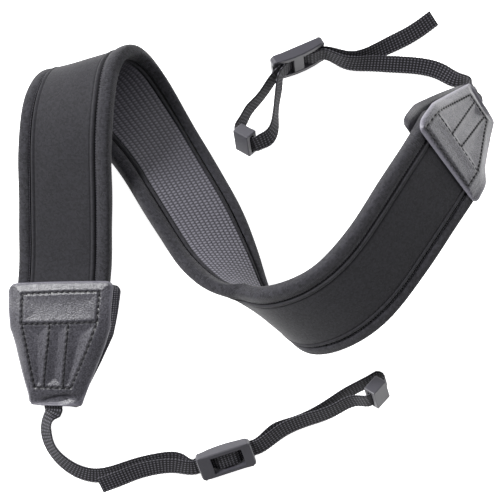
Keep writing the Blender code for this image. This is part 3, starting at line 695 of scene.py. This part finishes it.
def swell(s, u, wave):
    """A slow irregular swell of a soft surface, between -1 and 1."""
    along = np.sin(s / wave + 1.3 * np.sin(u / wave * 1.7 + 0.4))
    return (along + np.sin(s / wave * 0.37 - u / wave * 2.1)) / 2


def make_cover(look):
    """The neoprene pad: crowned, with a rim, a crease and a groove beside each seam."""
    half = PAD_WIDTH / 2 - BINDING_WIDTH - GAP
    places = np.arange(pad_start, pad_end + COVER_STEP / 2, COVER_STEP)
    low_band = np.linspace(-half, -half + COVER_BAND, 15)
    middle = np.linspace(-half + COVER_BAND, half - COVER_BAND, 30)[1:-1]
    fine = np.concatenate([low_band, middle, np.linspace(half - COVER_BAND, half, 15)])
    inset = half - np.abs(fine)
    top = PAD_THICKNESS / 2 - CORE_RECESS + CROWN * (1 - (fine / half) ** 2)
    top = top + RIM_HEIGHT * bump_at(inset, RIM_INSET, RIM_WIDTH)
    top = top - CREASE_DEPTH * bump_at(inset, CREASE_INSET, CREASE_WIDTH)
    top = top - GROOVE_DEPTH * bump_at(inset, 0.0, GROOVE_WIDTH)
    lining_half = half - LINING_MARGIN
    deep = -PAD_THICKNESS / 2 + LINING_RECESS + LINING_THICKNESS + GAP
    roll_in, roll_down = np.array(UNDER_ROLL).T
    under_u = np.concatenate([half - roll_in, [lining_half + 0.0001, lining_half, 0.0]])
    under_v = np.concatenate([deep - roll_down, [deep - 0.0006, deep, deep]])
    tuck_u = np.full(2, half + TUCK_REACH)
    tuck_v = np.array(TUCK_LEVELS)
    u = np.concatenate([fine, tuck_u, under_u, -under_u[-2::-1], -tuck_u])
    v = np.concatenate([top, tuck_v, under_v, under_v[-2::-1], tuck_v[::-1]])
    s = places[:, None]
    upper = np.zeros(len(u))
    upper[:len(fine)] = np.clip(inset / SWELL_INSET, 0, 1)
    v_all = v + COVER_SWELL * swell(s, u, COVER_WAVE) * upper
    mark = np.zeros(len(u))
    # Painted shade: the mark darkens the groove beside each seam and, by half, the crease
    mark[:len(fine)] = bump_at(inset, 0.0, 0.0007) + 0.5 * bump_at(inset, CREASE_INSET, CREASE_WIDTH)
    made = tube("pad_cover", carried(places, u, v_all), look, ("neck_pad",), marked(u, s, mark))


def rounded(value):
    """A sine or cosine on a squarer circle, with its sign kept."""
    return np.sign(value) * np.abs(value) ** ROLL_POWER


def make_binding(look, name, side, node):
    """A rolled knit binding with its ribs."""
    inner = PAD_WIDTH / 2 - BINDING_WIDTH
    outer = PAD_WIDTH / 2
    half = PAD_THICKNESS / 2
    angles = np.radians(np.linspace(-90, 90, 13))
    round_u = inner + ROLL_INSET + (outer - inner - ROLL_INSET) * rounded(np.cos(angles))
    round_v = half * rounded(np.sin(angles))
    flat_u = inner + np.array([0.0001, 0.0001, 0.0006])
    flat_v = np.array([0.0020, 0.0030, half - 0.0003])
    u = np.concatenate([flat_u, round_u, flat_u[::-1]])
    v = np.concatenate([-flat_v, round_v, flat_v[::-1]])
    places = np.arange(pad_start, pad_end, KNIT_RIB / 4)
    s = places[:, None]
    out_u = u - inner - ROLL_INSET
    length = np.hypot(out_u, v) + 1e-9
    share = np.clip((u - inner - 0.0003) / 0.0006, 0, 1)
    turn = np.cos(2 * pi * s / KNIT_RIB)
    relief = (KNIT_RELIEF * turn + KNIT_SWELL * np.sin(s / KNIT_WAVE + side)) * share
    u_all = (u + relief * out_u / length) * side
    v_all = v + relief * v / length
    # The mark is highest in the rib valleys, where the colour is painted darker as shade
    tube(name, carried(places, u_all, v_all), look, (node,), marked(u, s, 0.5 - 0.5 * turn))


def make_grip(look):
    """The woven non-slip lining: staggered raised dashes in columns."""
    half = PAD_WIDTH / 2 - BINDING_WIDTH - GAP - LINING_MARGIN
    columns = int(2 * half / GRIP_COLUMN)
    pitch = 2 * half / columns
    phases = np.array([0.0, 0.2, 0.5, 0.8])
    u = np.concatenate([(k + phases) * pitch - half for k in range(columns)] + [[half]])
    places = np.arange(pad_start, pad_end, GRIP_ROW / 4)
    s = places[:, None]
    across = (u + half) / pitch
    column = np.floor(across + 1e-6)
    along = s / GRIP_ROW + 0.5 * (column % 2)
    ridge = np.clip(np.sin(pi * (across - column)), 0, None) ** 0.5
    dash = (0.5 + 0.5 * np.cos(2 * pi * along)) ** 1.3
    raised = ridge * (0.18 + 0.82 * dash)
    base = PAD_THICKNESS / 2 - LINING_RECESS - GRIP_RELIEF
    edge = np.clip((half - np.abs(u)) / GRIP_EDGE, 0, 1)
    face = -(base + GRIP_RELIEF * raised * edge)
    back = np.full((len(places), 2), -(base - LINING_THICKNESS + GRIP_RELIEF))
    u = np.concatenate([u, [half, -half]])
    v_all = np.concatenate([face, back], axis=1)
    raised = np.concatenate([raised, np.zeros_like(back)], axis=1)
    tube("grip_weave", carried(places, u, v_all), look, ("grip_lining",), marked(u, s, raised))


def half_widths(d, x, left):
    """Half widths of a patch at many distances from its wide end, on the side that x says."""
    low, high = LEFT_SHOULDERS if left else RIGHT_SHOULDERS
    d = np.clip(d, 0.0, TAB_LENGTH)
    shoulder = np.where(x < 0, low, high)
    before = TAB_WIDE + (TAB_SHOULDER - TAB_WIDE) * d / shoulder
    past = TAB_SHOULDER + (TAB_NARROW - TAB_SHOULDER) * ((d - shoulder) / (TAB_LENGTH - shoulder))
    half = np.where(d < shoulder, before, past) / 2
    for from_end, corner in ((d, TAB_CORNER), (TAB_LENGTH - d, TAB_TIP_CORNER)):
        short = np.clip(corner - from_end, 0.0, None)
        half = half - np.where(from_end < corner, corner - (corner ** 2 - short ** 2) ** 0.5, 0.0)
    return PATCH_SPREAD * half


def patch_heights(x, d):
    """Middle of the leather above the strip's mid plane, for arrays."""
    over_pad = PAD_THICKNESS / 2 + 1.5 * GAP
    over_webbing = WEBBING_THICKNESS / 2 + TAB_MOUTH
    past_pad = d - TAB_OVERLAP - GAP
    middle = over_pad + (over_webbing - over_pad) * smooth_step(past_pad / (0.95 * TAB_LENGTH - TAB_OVERLAP))
    edge = over_pad + (GAP - over_pad) * smooth_step(past_pad / TAB_EDGE_DROP)
    edge = np.minimum(edge, middle)
    return edge + (middle - edge) * (1 - x ** 6) + LEATHER / 2


def blend(corners, x, toward_pad, part):
    """A nudge between those of the four corners of a patch."""
    wide = corners.wide_low[part] * (1 - x) + corners.wide_high[part] * x
    tip = corners.tip_low[part] * (1 - x) + corners.tip_high[part] * x
    return wide * toward_pad + tip * (1 - toward_pad)


def patch_points(u, d, height, front, left):
    """World points on a patch, from the place across, the distance from the wide end and the height."""
    side = 1 if front else -1
    sewn = LEFT_TAB if left else RIGHT_TAB
    sideways = sewn.front_shift if front else sewn.back_shift * (1 - (d / TAB_LENGTH) ** 2)
    toward_pad = 1 - d / TAB_LENGTH
    askew = sewn.skew * u * toward_pad
    inside = TAB_LENGTH - d + sewn.reach * TAB_LENGTH * toward_pad
    if front:
        corners = LEFT_NUDGE if left else RIGHT_NUDGE
        x = np.clip(u / TAB_WIDE + 0.5, 0, 1)
        sideways = sideways + TAB_WIDE * blend(corners, x, toward_pad, 0)
        inside = inside + TAB_LENGTH * blend(corners, x, toward_pad, 1)
    s = askew + (inside if left else strip.length - inside)
    point, across, normal = frames_at(s)
    return point + (u + sideways)[..., None] * across + side * height[..., None] * normal


def seam_corner(seams, corner):
    """A stitch corner, named by its row and its place in it, across and along the patch in metres."""
    row = getattr(seams, corner[0])
    across = getattr(row, corner[1])
    share = (across - row.left) / (row.right - row.left)
    along = row.left_along + share * (row.right_along - row.left_along)
    return np.array([across * TAB_WIDE, along * TAB_LENGTH])


def from_segment(u, d, start, end):
    """Distance of each place from a stitch line."""
    run = end - start
    share = np.clip(((u - start[0]) * run[0] + (d - start[1]) * run[1]) / run.dot(run), 0, 1)
    return np.hypot(u - start[0] - share * run[0], d - start[1] - share * run[1])


def inside_panel(u, d, corners):
    """Distance inwards from a panel's sides, negative outside."""
    found = np.full(np.shape(u), np.inf)
    centre = np.mean(corners, axis=0)
    for start, end in zip(corners, corners[1:] + corners[:1]):
        run = end - start
        across = np.array([run[1], -run[0]]) / np.hypot(*run)
        if across.dot(centre - start) < 0:
            across = -across
        found = np.minimum(found, (u - start[0]) * across[0] + (d - start[1]) * across[1])
    return found


def patch_relief(u, d, seams):
    """Height over the plain leather: sunken panels, sewn channels, and a margin raised beside the seams."""
    relief = np.zeros(np.shape(u))
    outline = [seam_corner(seams, corner) for corner in SEAM_OUTLINE]
    for corners, sink in [(BAND, BAND_SINK)] + [(fan, PANEL_SINK) for fan in FANS]:
        inward = inside_panel(u, d, [seam_corner(seams, corner) for corner in corners])
        relief -= sink * (1 - (1 - np.clip(inward / PANEL_EASE, 0, 1)) ** 2)
    outward = np.clip(-inside_panel(u, d, outline), 0, None)
    relief += MARGIN_RISE * (1 - np.clip(outward / MARGIN_REACH, 0, 1))
    stitched = np.zeros(np.shape(u))
    for first, second in SEAM_LINES:
        start, end = seam_corner(seams, first), seam_corner(seams, second)
        away = from_segment(u, d, start, end)
        run = unit(end - start)
        along = (u - start[0]) * run[0] + (d - start[1]) * run[1]
        pull = 1 - PULL_DIP + PULL_DIP * np.cos(2 * pi * along / TAB_STITCH)
        stitched = np.maximum(stitched, bump_at(away, 0.0, CHANNEL_WIDTH) * pull)
    return relief - CHANNEL_DEPTH * stitched, stitched


def patch_face(x, d, left):
    """Places on one face of a patch: shares across, places across and along, and how far from the edge."""
    x, d = np.meshgrid(x, d)
    half = half_widths(d, x, left)
    u = x * half
    return x, u, d, np.minimum(half - np.abs(u), np.minimum(d, TAB_LENGTH - d))


def half_thickness(from_edge):
    """Half the leather's thickness, rounded off at the edge."""
    return LEATHER / 2 * np.sqrt(1 - (1 - np.clip(from_edge / PATCH_EDGE, 0, 1)) ** 2)


def make_patch(look, name, node, front, left):
    """One leatherette patch with rounded edges; the outer one has its sewn panels."""
    across_steps, along_steps = (150, 170) if front else (70, 90)
    x = np.sin(np.linspace(-pi / 2, pi / 2, across_steps) * 0.96) / sin(pi / 2 * 0.96)
    x = 0.6 * x + 0.4 * np.linspace(-1, 1, across_steps)
    ease = np.linspace(0, 1, along_steps)
    ease = 0.75 * ease + 0.25 * (0.5 - 0.5 * np.cos(pi * ease))
    x, u, d, from_edge = patch_face(x, TAB_LENGTH * ease, left)
    relief, stitched, fold = 0.0, 0.0, 0.0
    if front:
        relief, stitched = patch_relief(u, d, LEFT_SEAMS if left else RIGHT_SEAMS)
        pinch_u, pinch_d = LEFT_PINCH if left else RIGHT_PINCH
        beside = u - pinch_u * TAB_WIDE
        past = d - pinch_d * TAB_LENGTH + PINCH_SLANT * beside
        relief = relief - PINCH_DEPTH * np.exp(-(beside / PINCH_WIDTH) ** 2 - (past / PINCH_LENGTH) ** 2)
        # Painted highlight on the fold at the narrow end
        fold = FOLD_HIGHLIGHT * bump_at(TAB_LENGTH - d, 0.0, FOLD_WIDTH)
    keep = smooth_step(from_edge / RELIEF_EASE)
    top = patch_heights(x, d) + half_thickness(from_edge) + np.maximum(relief, -LEATHER) * keep
    top = top + LEATHER_SWELL * swell(d, u, LEATHER_WAVE)
    x_low, u_low, d_low, low_edge = patch_face(np.linspace(1, -1, 14)[1:-1], TAB_LENGTH * ease, left)
    low = patch_heights(x_low, d_low) - half_thickness(low_edge)
    # Painted highlight along the edges and the fold, and painted shade in the sewn channels
    painted_light = np.maximum(bump_at(from_edge, 0.0, EDGE_HIGHLIGHT), fold) - stitched
    u_all = np.concatenate([u, u_low], axis=1)
    d_all = np.concatenate([d, d_low], axis=1)
    painted_light = np.concatenate([painted_light, np.zeros_like(u_low)], axis=1)
    points = patch_points(u_all, d_all, np.concatenate([top, low], axis=1), front, left)
    tube(name, points, look, (node,), marked(u_all, d_all, painted_light))


def capsules(name, centres, along, out, length, width, look):
    """Many small stitches as one mesh: flattened ellipsoids that point along the seam."""
    around = 8
    rings = np.array([-0.98, -0.75, 0.0, 0.75, 0.98])
    wide = np.sqrt(1 - rings ** 2)
    centres, along, out = np.asarray(centres), unit(along), unit(out)
    beside = unit(np.cross(along, out))
    turn = np.linspace(0, 2 * pi, around, endpoint=False)
    local = []
    for ring, girth in zip(rings, wide):
        local += [(ring * length / 2, girth * cos(t) * width / 2, girth * sin(t) * width / 2) for t in turn]
    local = np.array(local)
    points = (centres[:, None] + local[None, :, 0, None] * along[:, None]
              + local[None, :, 1, None] * beside[:, None] + local[None, :, 2, None] * out[:, None])
    faces = []
    one = ring_faces(len(rings), around)
    for k in range(len(centres)):
        faces += [[i + k * len(local) for i in face] for face in one]
    made = new_mesh(name, points.reshape(-1, 3), faces, look)
    fix_normals(made)
    return made


def sewn_surface(places, seams, left):
    """World points of the outer leather at places across and along it."""
    u, d = places[:, 0], places[:, 1]
    height = patch_heights(u / half_widths(d, u, left), d) + LEATHER / 2
    height = height + patch_relief(u, d, seams)[0]
    return patch_points(u, d, height, True, left)


def make_tab_stitches(look, name, left):
    """The thread of the sewn channels."""
    seams = LEFT_SEAMS if left else RIGHT_SEAMS
    outward = frames_at(np.array([0.0 if left else strip.length]))[2]
    centres, along, out = [], [], []
    for first, second in SEAM_LINES:
        start, end = seam_corner(seams, first), seam_corner(seams, second)
        count = max(2, round(np.hypot(*(end - start)) / TAB_STITCH))
        middle = start + ((np.arange(count) + 0.5) / count)[:, None] * (end - start)
        step = (end - start) / count * 0.3
        offsets = (0.0, step, -step, np.array([step[1], -step[0]]))
        centre, ahead, behind, beside = [sewn_surface(middle + offset, seams, left) for offset in offsets]
        run = unit(ahead - behind)
        up = unit(np.cross(run, beside - centre))
        up = up * np.sign(np.sum(up * outward, axis=1))[:, None]
        centres.append(centre - STITCH_SUNK * up)
        along.append(run)
        out.append(up)
    capsules(name, np.concatenate(centres), np.concatenate(along), np.concatenate(out),
             TAB_STITCH * STITCH_SHARE, STITCH_WIDTH, look)


def make_seam_stitches(look, name, side):
    """The close stitches in the seam between the pad and one binding."""
    places = np.arange(pad_start + 0.001, pad_end - 0.001, SEAM_STITCH)
    point, across, normal = frames_at(places)
    ahead = frames_at(places + GAP)[0] - frames_at(places - GAP)[0]
    u = side * (PAD_WIDTH / 2 - BINDING_WIDTH - 0.0001)
    centres = point + u * across + SEAM_LEVEL * normal
    capsules(name, centres, ahead, normal, SEAM_THREAD_LENGTH, SEAM_THREAD_WIDTH, look)


def web_path(stations):
    """Fine rows of a webbing: lengths, points, across and normal."""
    spline = Spline([point for point, _ in stations])
    turn = Spline([across for _, across in stations], spline.chord)
    rough = np.linspace(0, spline.chord[-1], 6000)
    points = spline.at(rough)
    run = running_length(points)
    places = np.arange(0, run[-1], WEB_RIB / 5)
    at = np.interp(places, run, rough)
    points = spline.at(at)
    tangent = unit(spline.at(at + GAP) - spline.at(at - GAP))
    across = squared(turn.at(at), tangent)
    return places, points + shift, across, np.cross(across, tangent)


def make_webbing(look, name, node, stations):
    """A ribbed webbing: cross ribs made of short raised dashes, and scalloped edges."""
    places, points, across, normal = web_path(stations)
    s = places[:, None]
    half = WEBBING_WIDTH / 2
    flat = WEBBING_THICKNESS / 2 - WEB_SINK
    pitch = (2 * half - 2 * WEB_MARGIN) / WEB_ROWS
    phases = np.array([0.0, 0.25, 0.75])
    u = np.concatenate([(k + phases) * pitch for k in range(WEB_ROWS)] + [[WEB_ROWS * pitch]])
    u = u - (half - WEB_MARGIN)
    dash = np.abs(np.sin(pi * (u + half - WEB_MARGIN) / pitch)) ** 0.6
    rib = np.abs(np.sin(pi * s / WEB_RIB)) ** 0.8
    u_top = np.tile(u, (len(places), 1))
    v_top = flat + WEB_RELIEF * (rib * (0.25 + 0.75 * dash))
    u_side = half - 0.00012 + (rib - 0.5) * WEB_SCALLOP - 0.00015 * np.array([1, 0, 1])
    v_side = np.tile(np.array([0.7, 0.0, -0.7]) * flat, (len(places), 1))
    u_all = np.concatenate([u_top, u_side, u_top[:, ::-1], -u_side[:, ::-1]], axis=1)
    v_all = np.concatenate([v_top, v_side, -v_top[:, ::-1], v_side[:, ::-1]], axis=1)
    light = rib ** 3 * dash ** 3
    side_light = np.tile(0.15 * rib, (1, 3))
    marks = np.concatenate([light, side_light, light[:, ::-1], side_light], axis=1)
    grid = points[:, None] + u_all[..., None] * across[:, None] + v_all[..., None] * normal[:, None]
    tube(name, grid, look, (node,), marked(u_all, s, marks))


def webbing_stations(left):
    """A webbing's stations, from its tab through buckle, sleeve and buckle again to the cut end."""
    side = LEFT_SIDE if left else RIGHT_SIDE
    lead, behind, before, tail = side.rows
    tip = strip.at(0.0 if left else strip.length)[0]
    buckle = Buckle(place_point(side.buckle, tip, side.lead, BUCKLE_WIDTH), side.buckle, side.faces)
    sleeve_at = place_point(side.sleeve, buckle.origin, side.loop, SLEEVE_WIDTH)
    through = sleeve_stations(sleeve_at, side.sleeve, side.radius, side.sweep)
    stations = tab_stations(strip, left) + web_stations(lead, tip, side.lead)
    stations += buckle.stations(False, side.follows)
    stations += web_stations(behind, buckle.origin, side.loop)
    stations += through[::-1] if side.backwards else through
    stations += web_stations(before, buckle.origin, side.loop)
    stations += buckle.stations(True, side.follows)[::-1]
    return stations + web_stations(tail, buckle.origin, side.tail)


def set_inputs(shader, values):
    """Sets a node's inputs by name."""
    for name, value in values.items():
        shader.inputs[name].default_value = value


class Look:
    """A procedural material under construction."""

    def __init__(self, name, roughness, specular=0.5, sheen=0.0):
        self.made = bpy.data.materials.new(name)
        self.made.use_nodes = True
        self.tree = self.made.node_tree
        self.shader = self.tree.nodes["Principled BSDF"]
        set_inputs(self.shader, {"Roughness": roughness, "Specular IOR Level": specular,
                                 "Sheen Weight": sheen, "Sheen Roughness": 0.6})
        mark = self.node("ShaderNodeAttribute")
        mark.attribute_name = "place"
        parts = self.node("ShaderNodeSeparateXYZ", Vector=mark.outputs["Vector"])
        self.u, self.s, self.mark = parts.outputs
        self.object = self.node("ShaderNodeTexCoord").outputs["Object"]

    def node(self, kind, **inputs):
        """A node with its inputs set or linked."""
        made = self.tree.nodes.new(kind)
        for name, value in inputs.items():
            self.feed(made.inputs[name.replace("_", " ")], value)
        return made

    def feed(self, socket, value):
        """Sets a socket, or links an output to it."""
        if isinstance(value, bpy.types.NodeSocket):
            self.tree.links.new(value, socket)
        else:
            socket.default_value = value

    def math(self, operation, first, second=0.0, clamp=False):
        """A sum, product or other function of two values."""
        made = self.tree.nodes.new("ShaderNodeMath")
        made.operation = operation
        made.use_clamp = clamp
        self.feed(made.inputs[0], first)
        self.feed(made.inputs[1], second)
        return made.outputs[0]

    def mix(self, factor, first, second):
        """A colour between two colours."""
        made = self.tree.nodes.new("ShaderNodeMix")
        made.data_type = "RGBA"
        self.feed(made.inputs[0], factor)
        for index, value in ((6, first), (7, second)):
            self.feed(made.inputs[index], value if isinstance(value, bpy.types.NodeSocket) else grey(value))
        return made.outputs[2]

    def ripple(self, value, pitch):
        """A ripple between 0 and 1, with its zeros that far apart."""
        return self.math("ABSOLUTE", self.math("SINE", self.math("MULTIPLY", value, pi / pitch)))

    def noise(self, scale, detail=2.0):
        """Noise at a scale per metre."""
        return self.node("ShaderNodeTexNoise", Vector=self.object, Scale=scale, Detail=detail).outputs[0]

    def cells(self, scale):
        """Distance in cells at a scale per metre."""
        return self.node("ShaderNodeTexVoronoi", Vector=self.object, Scale=scale).outputs["Distance"]

    def speckle(self, scale):
        """Small cells of random lightness at a scale per metre."""
        made = self.node("ShaderNodeTexVoronoi", Vector=self.object, Scale=scale)
        return self.node("ShaderNodeSeparateXYZ", Vector=made.outputs["Color"]).outputs[0]

    def finish(self, colour, height=None, distance=0.0, strength=1.0, roughness=None):
        """Links the colour, the relief and the roughness."""
        self.feed(self.shader.inputs["Base Color"], colour)
        if roughness is not None:
            self.feed(self.shader.inputs["Roughness"], roughness)
        if height is not None:
            bump = self.node("ShaderNodeBump", Height=height, Distance=distance, Strength=strength)
            self.feed(self.shader.inputs["Normal"], bump.outputs[0])
        return self.made


def grey(value):
    """A slightly blue grey of that value."""
    blue = 1.10 + 0.14 * np.exp(-value / 0.04)
    return (value * 0.96, value * 0.93, value * blue, 1.0)


def neoprene_look():
    """Jersey-faced neoprene: a fine speckle of stitches."""
    look = Look("neoprene_jersey", 0.8, specular=0.25, sheen=0.06)
    stitches = look.speckle(1150.0)
    slow = look.noise(38.0, 3.0)
    base = look.mix(slow, 0.0070, 0.0085)
    base = look.mix(stitches, base, 0.0165)
    # Painted shade: darker in the groove and the crease, where the mark is high
    base = look.mix(look.math("MULTIPLY", look.mark, 0.75, True), base, 0.004)
    height = look.math("ADD", stitches, look.math("MULTIPLY", look.noise(900.0), 0.8))
    return look.finish(base, height, 0.00010, 0.7)


def knit_look():
    """Fine ribbed knit tape."""
    look = Look("knit_tape", 0.85, specular=0.2, sheen=0.10)
    stitches = look.speckle(1000.0)
    base = look.mix(look.noise(45.0, 2.0), 0.0075, 0.0100)
    base = look.mix(stitches, base, 0.030)
    # Painted shade: the rib valleys are painted darker
    base = look.mix(look.math("MULTIPLY", look.mark, 0.45), base, 0.007)
    return look.finish(base, stitches, 0.00016, 0.8)


def grip_look():
    """Woven rubberised lining: light raised dashes over dark gaps."""
    look = Look("grip_weave_dots", 0.6, specular=0.35)
    fine = look.noise(1500.0, 2.0)
    tone = look.math("POWER", look.mark, 1.4)
    # Painted light: the dashes are painted lighter farther along the strip
    lining_painted_light = look.math("MULTIPLY", look.math("SUBTRACT", look.s, LINING_PAINTED_LIGHT_FROM), 1 / LINING_PAINTED_LIGHT_OVER, True)
    base = look.mix(tone, 0.030, look.mix(lining_painted_light, 0.090, 0.31))
    base = look.mix(look.math("MULTIPLY", fine, 0.3), base, 0.05)
    return look.finish(base, fine, 0.00010, 0.5)


def leather_look(name, valley, hill, painted_light, dots=0.0):
    """Pebbled leatherette, with painted highlight along its edges and fold and painted shade in its sewn
    channels; dots is the tone of coarse grain near the pad, which painted shade fades out farther along.
    """
    look = Look(name, 0.44, specular=0.52)
    pebbles = look.math("SUBTRACT", 1.0, look.math("MULTIPLY", look.cells(1280.0), 1.1), True)
    tone = look.speckle(1280.0)
    grain = look.noise(420.0, 3.0)
    share = look.math("MULTIPLY", pebbles, look.math("ADD", 0.75, look.math("MULTIPLY", tone, 0.45)), True)
    base = look.mix(share, valley, hill)
    if dots:
        rows = look.math("POWER", look.ripple(look.s, DOT_ROW), 2.0)
        dot = look.math("MULTIPLY", rows, look.math("POWER", look.ripple(look.u, DOT_COLUMN), 2.0))
        # The dots are the grain; their fade farther from the wide end is painted shade
        dots_unshaded = look.math("DIVIDE", look.math("SUBTRACT", DOTS_SHADED_AT, look.s), DOTS_SHADE_FADE, True)
        base = look.mix(look.math("MULTIPLY", dot, dots_unshaded, True), base, dots)
    # Painted highlight where the mark is above zero (edges and fold), painted shade where it is below (the
    # sewn channels)
    lighter = look.math("MAXIMUM", look.mark, 0.0)
    base = look.mix(look.math("MULTIPLY", lighter, 0.75, True), base, painted_light)
    darker = look.math("MAXIMUM", look.math("MULTIPLY", look.mark, -1.0), 0.0)
    base = look.mix(look.math("MULTIPLY", darker, 1.1, True), base, 0.004)
    height = look.math("ADD", pebbles, look.math("MULTIPLY", grain, 0.7))
    rough = look.math("ADD", 0.36, look.math("MULTIPLY", grain, 0.16))
    return look.finish(base, height, 0.00013, 0.8, rough)


def webbing_look():
    """Woven nylon: dark, with small light dashes on the ribs."""
    look = Look("nylon_webbing", 0.62, specular=0.22, sheen=0.02)
    threads = look.noise(2400.0, 2.0)
    from_margin = look.math("ADD", look.u, (WEBBING_WIDTH / 2 - WEB_MARGIN) * MM)
    rib = look.math("POWER", look.ripple(look.s, WEB_RIB * MM), 3.0)
    row = look.ripple(from_margin, (WEBBING_WIDTH - 2 * WEB_MARGIN) / WEB_ROWS * MM)
    dash = look.math("MULTIPLY", rib, look.math("POWER", row, 3.0))
    dash = look.math("MULTIPLY", dash, look.math("GREATER_THAN", look.mark, 0.02))
    base = look.mix(dash, 0.004, 0.13)
    base = look.mix(look.math("MULTIPLY", threads, 0.15), base, 0.02)
    return look.finish(base, threads, 0.00010, 0.6)


def thread_look(name, low, high):
    """Sewing thread."""
    look = Look(name, 0.6, specular=0.3)
    twist = look.noise(2600.0, 1.0)
    return look.finish(look.mix(twist, low, high), twist, 0.00008, 0.6)


def plastic_look(name, low, high):
    """Moulded matt plastic."""
    look = Look(name, 0.38, specular=0.5)
    fine = look.noise(3200.0, 2.0)
    base = look.mix(look.noise(60.0, 2.0), low, high)
    rough = look.math("ADD", 0.34, look.math("MULTIPLY", fine, 0.16))
    return look.finish(base, fine, 0.00005, 0.35, rough)


def dress_hardware(look, edge):
    """The buckles and the sleeves keep their CAD shape, with softened edges and the plastic; the bevels take
    a lighter plastic as painted highlight.
    """
    for name in ("buckle_left", "buckle_right", "keeper_left", "keeper_right"):
        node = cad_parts[name]
        node.data.materials.clear()
        node.data.materials.append(look)
        node.data.materials.append(edge)
        soften = node.modifiers.new("soften", "BEVEL")
        soften.width = HARDWARE_EDGE
        soften.segments = 2
        soften.limit_method = "ANGLE"
        soften.angle_limit = radians(HARDWARE_ANGLE)
        # The bevels take the second material, a lighter plastic painted as highlight
        soften.material = 1


def make_stage():
    """White floor, soft lights and the camera above."""
    scene = bpy.context.scene
    mesh = bpy.data.meshes.new("floor")
    ends = ((-1, -1), (1, -1), (1, 1), (-1, 1))
    mesh.from_pydata([(x * FLOOR_REACH, y * FLOOR_REACH, FLOOR_LEVEL) for x, y in ends], [], [(0, 1, 2, 3)])
    floor = bpy.data.objects.new("floor", mesh)
    scene.collection.objects.link(floor)
    look = bpy.data.materials.new("white_floor")
    look.use_nodes = True
    set_inputs(look.node_tree.nodes["Principled BSDF"], {
        "Base Color": (0.9, 0.9, 0.9, 1.0), "Roughness": 0.9,
        "Emission Color": WHITE, "Emission Strength": FLOOR_GLOW,
    })
    mesh.materials.append(look)
    world = scene.world or bpy.data.worlds.new("studio")
    scene.world = world
    world.use_nodes = True
    set_inputs(world.node_tree.nodes["Background"], {"Color": WHITE, "Strength": SKY_STRENGTH})
    for name, place, power, width in LAMPS:
        lamp = bpy.data.lights.new(name, "AREA")
        lamp.energy = power
        lamp.size = width
        made = bpy.data.objects.new(name, lamp)
        made.location = place
        made.rotation_euler = Vector(place).to_track_quat("Z", "Y").to_euler()
        scene.collection.objects.link(made)
    scene.view_settings.view_transform = "Standard"
    scene.view_settings.look = "None"
    lens = bpy.data.cameras.new("camera")
    lens.sensor_width = 36.0
    lens.lens = CAMERA_LENS
    lens.clip_end = 20.0
    camera = bpy.data.objects.new("camera", lens)
    camera.location = tuple(shift + np.array([0.0, 0.0, CAMERA_HEIGHT]))
    scene.collection.objects.link(camera)
    scene.camera = camera


def dress():
    """Makes every piece of the scene."""
    make_cover(neoprene_look())
    knit = knit_look()
    for name, side in (("left", -1), ("right", 1)):
        make_binding(knit, "knit_binding_" + name, side, "edge_binding_" + name)
    make_grip(grip_look())
    # Painted light: the same leatherette on both tabs, with the right outer patch and its edge highlight
    # painted lighter than the left
    outer_left = leather_look("leatherette_outer_left", 0.016, 0.078, 0.16)
    outer_right = leather_look("leatherette_outer_right", 0.026, 0.116, 0.22)
    inner_left = leather_look("leatherette_inner_left", 0.006, 0.036, 0.04, 0.45)
    inner_right = leather_look("leatherette_inner_right", 0.006, 0.036, 0.04)
    thread = thread_look("thread", 0.004, 0.018)
    for side, outer, inner in (("left", outer_left, inner_left), ("right", outer_right, inner_right)):
        left = side == "left"
        make_patch(outer, "patch_outer_" + side, "tab_front_" + side, True, left)
        make_patch(inner, "patch_inner_" + side, "tab_back_" + side, False, left)
        make_tab_stitches(thread, "tab_stitches_" + side, left)
    seam_thread = thread_look("seam_thread", 0.030, 0.080)
    for name, side in (("left", -1), ("right", 1)):
        make_seam_stitches(seam_thread, "seam_stitches_" + name, side)
    nylon = webbing_look()
    for side in ("left", "right"):
        stations = webbing_stations(side == "left")
        make_webbing(nylon, "ribbed_webbing_" + side, "webbing_" + side, stations)
    plastic = plastic_look("moulded_plastic", 0.030, 0.046)
    # Painted highlight: the lighter plastic on the fittings' bevels
    dress_hardware(plastic, plastic_look("plastic_edge_painted_highlight", 0.13, 0.20))


make_stage()
dress()
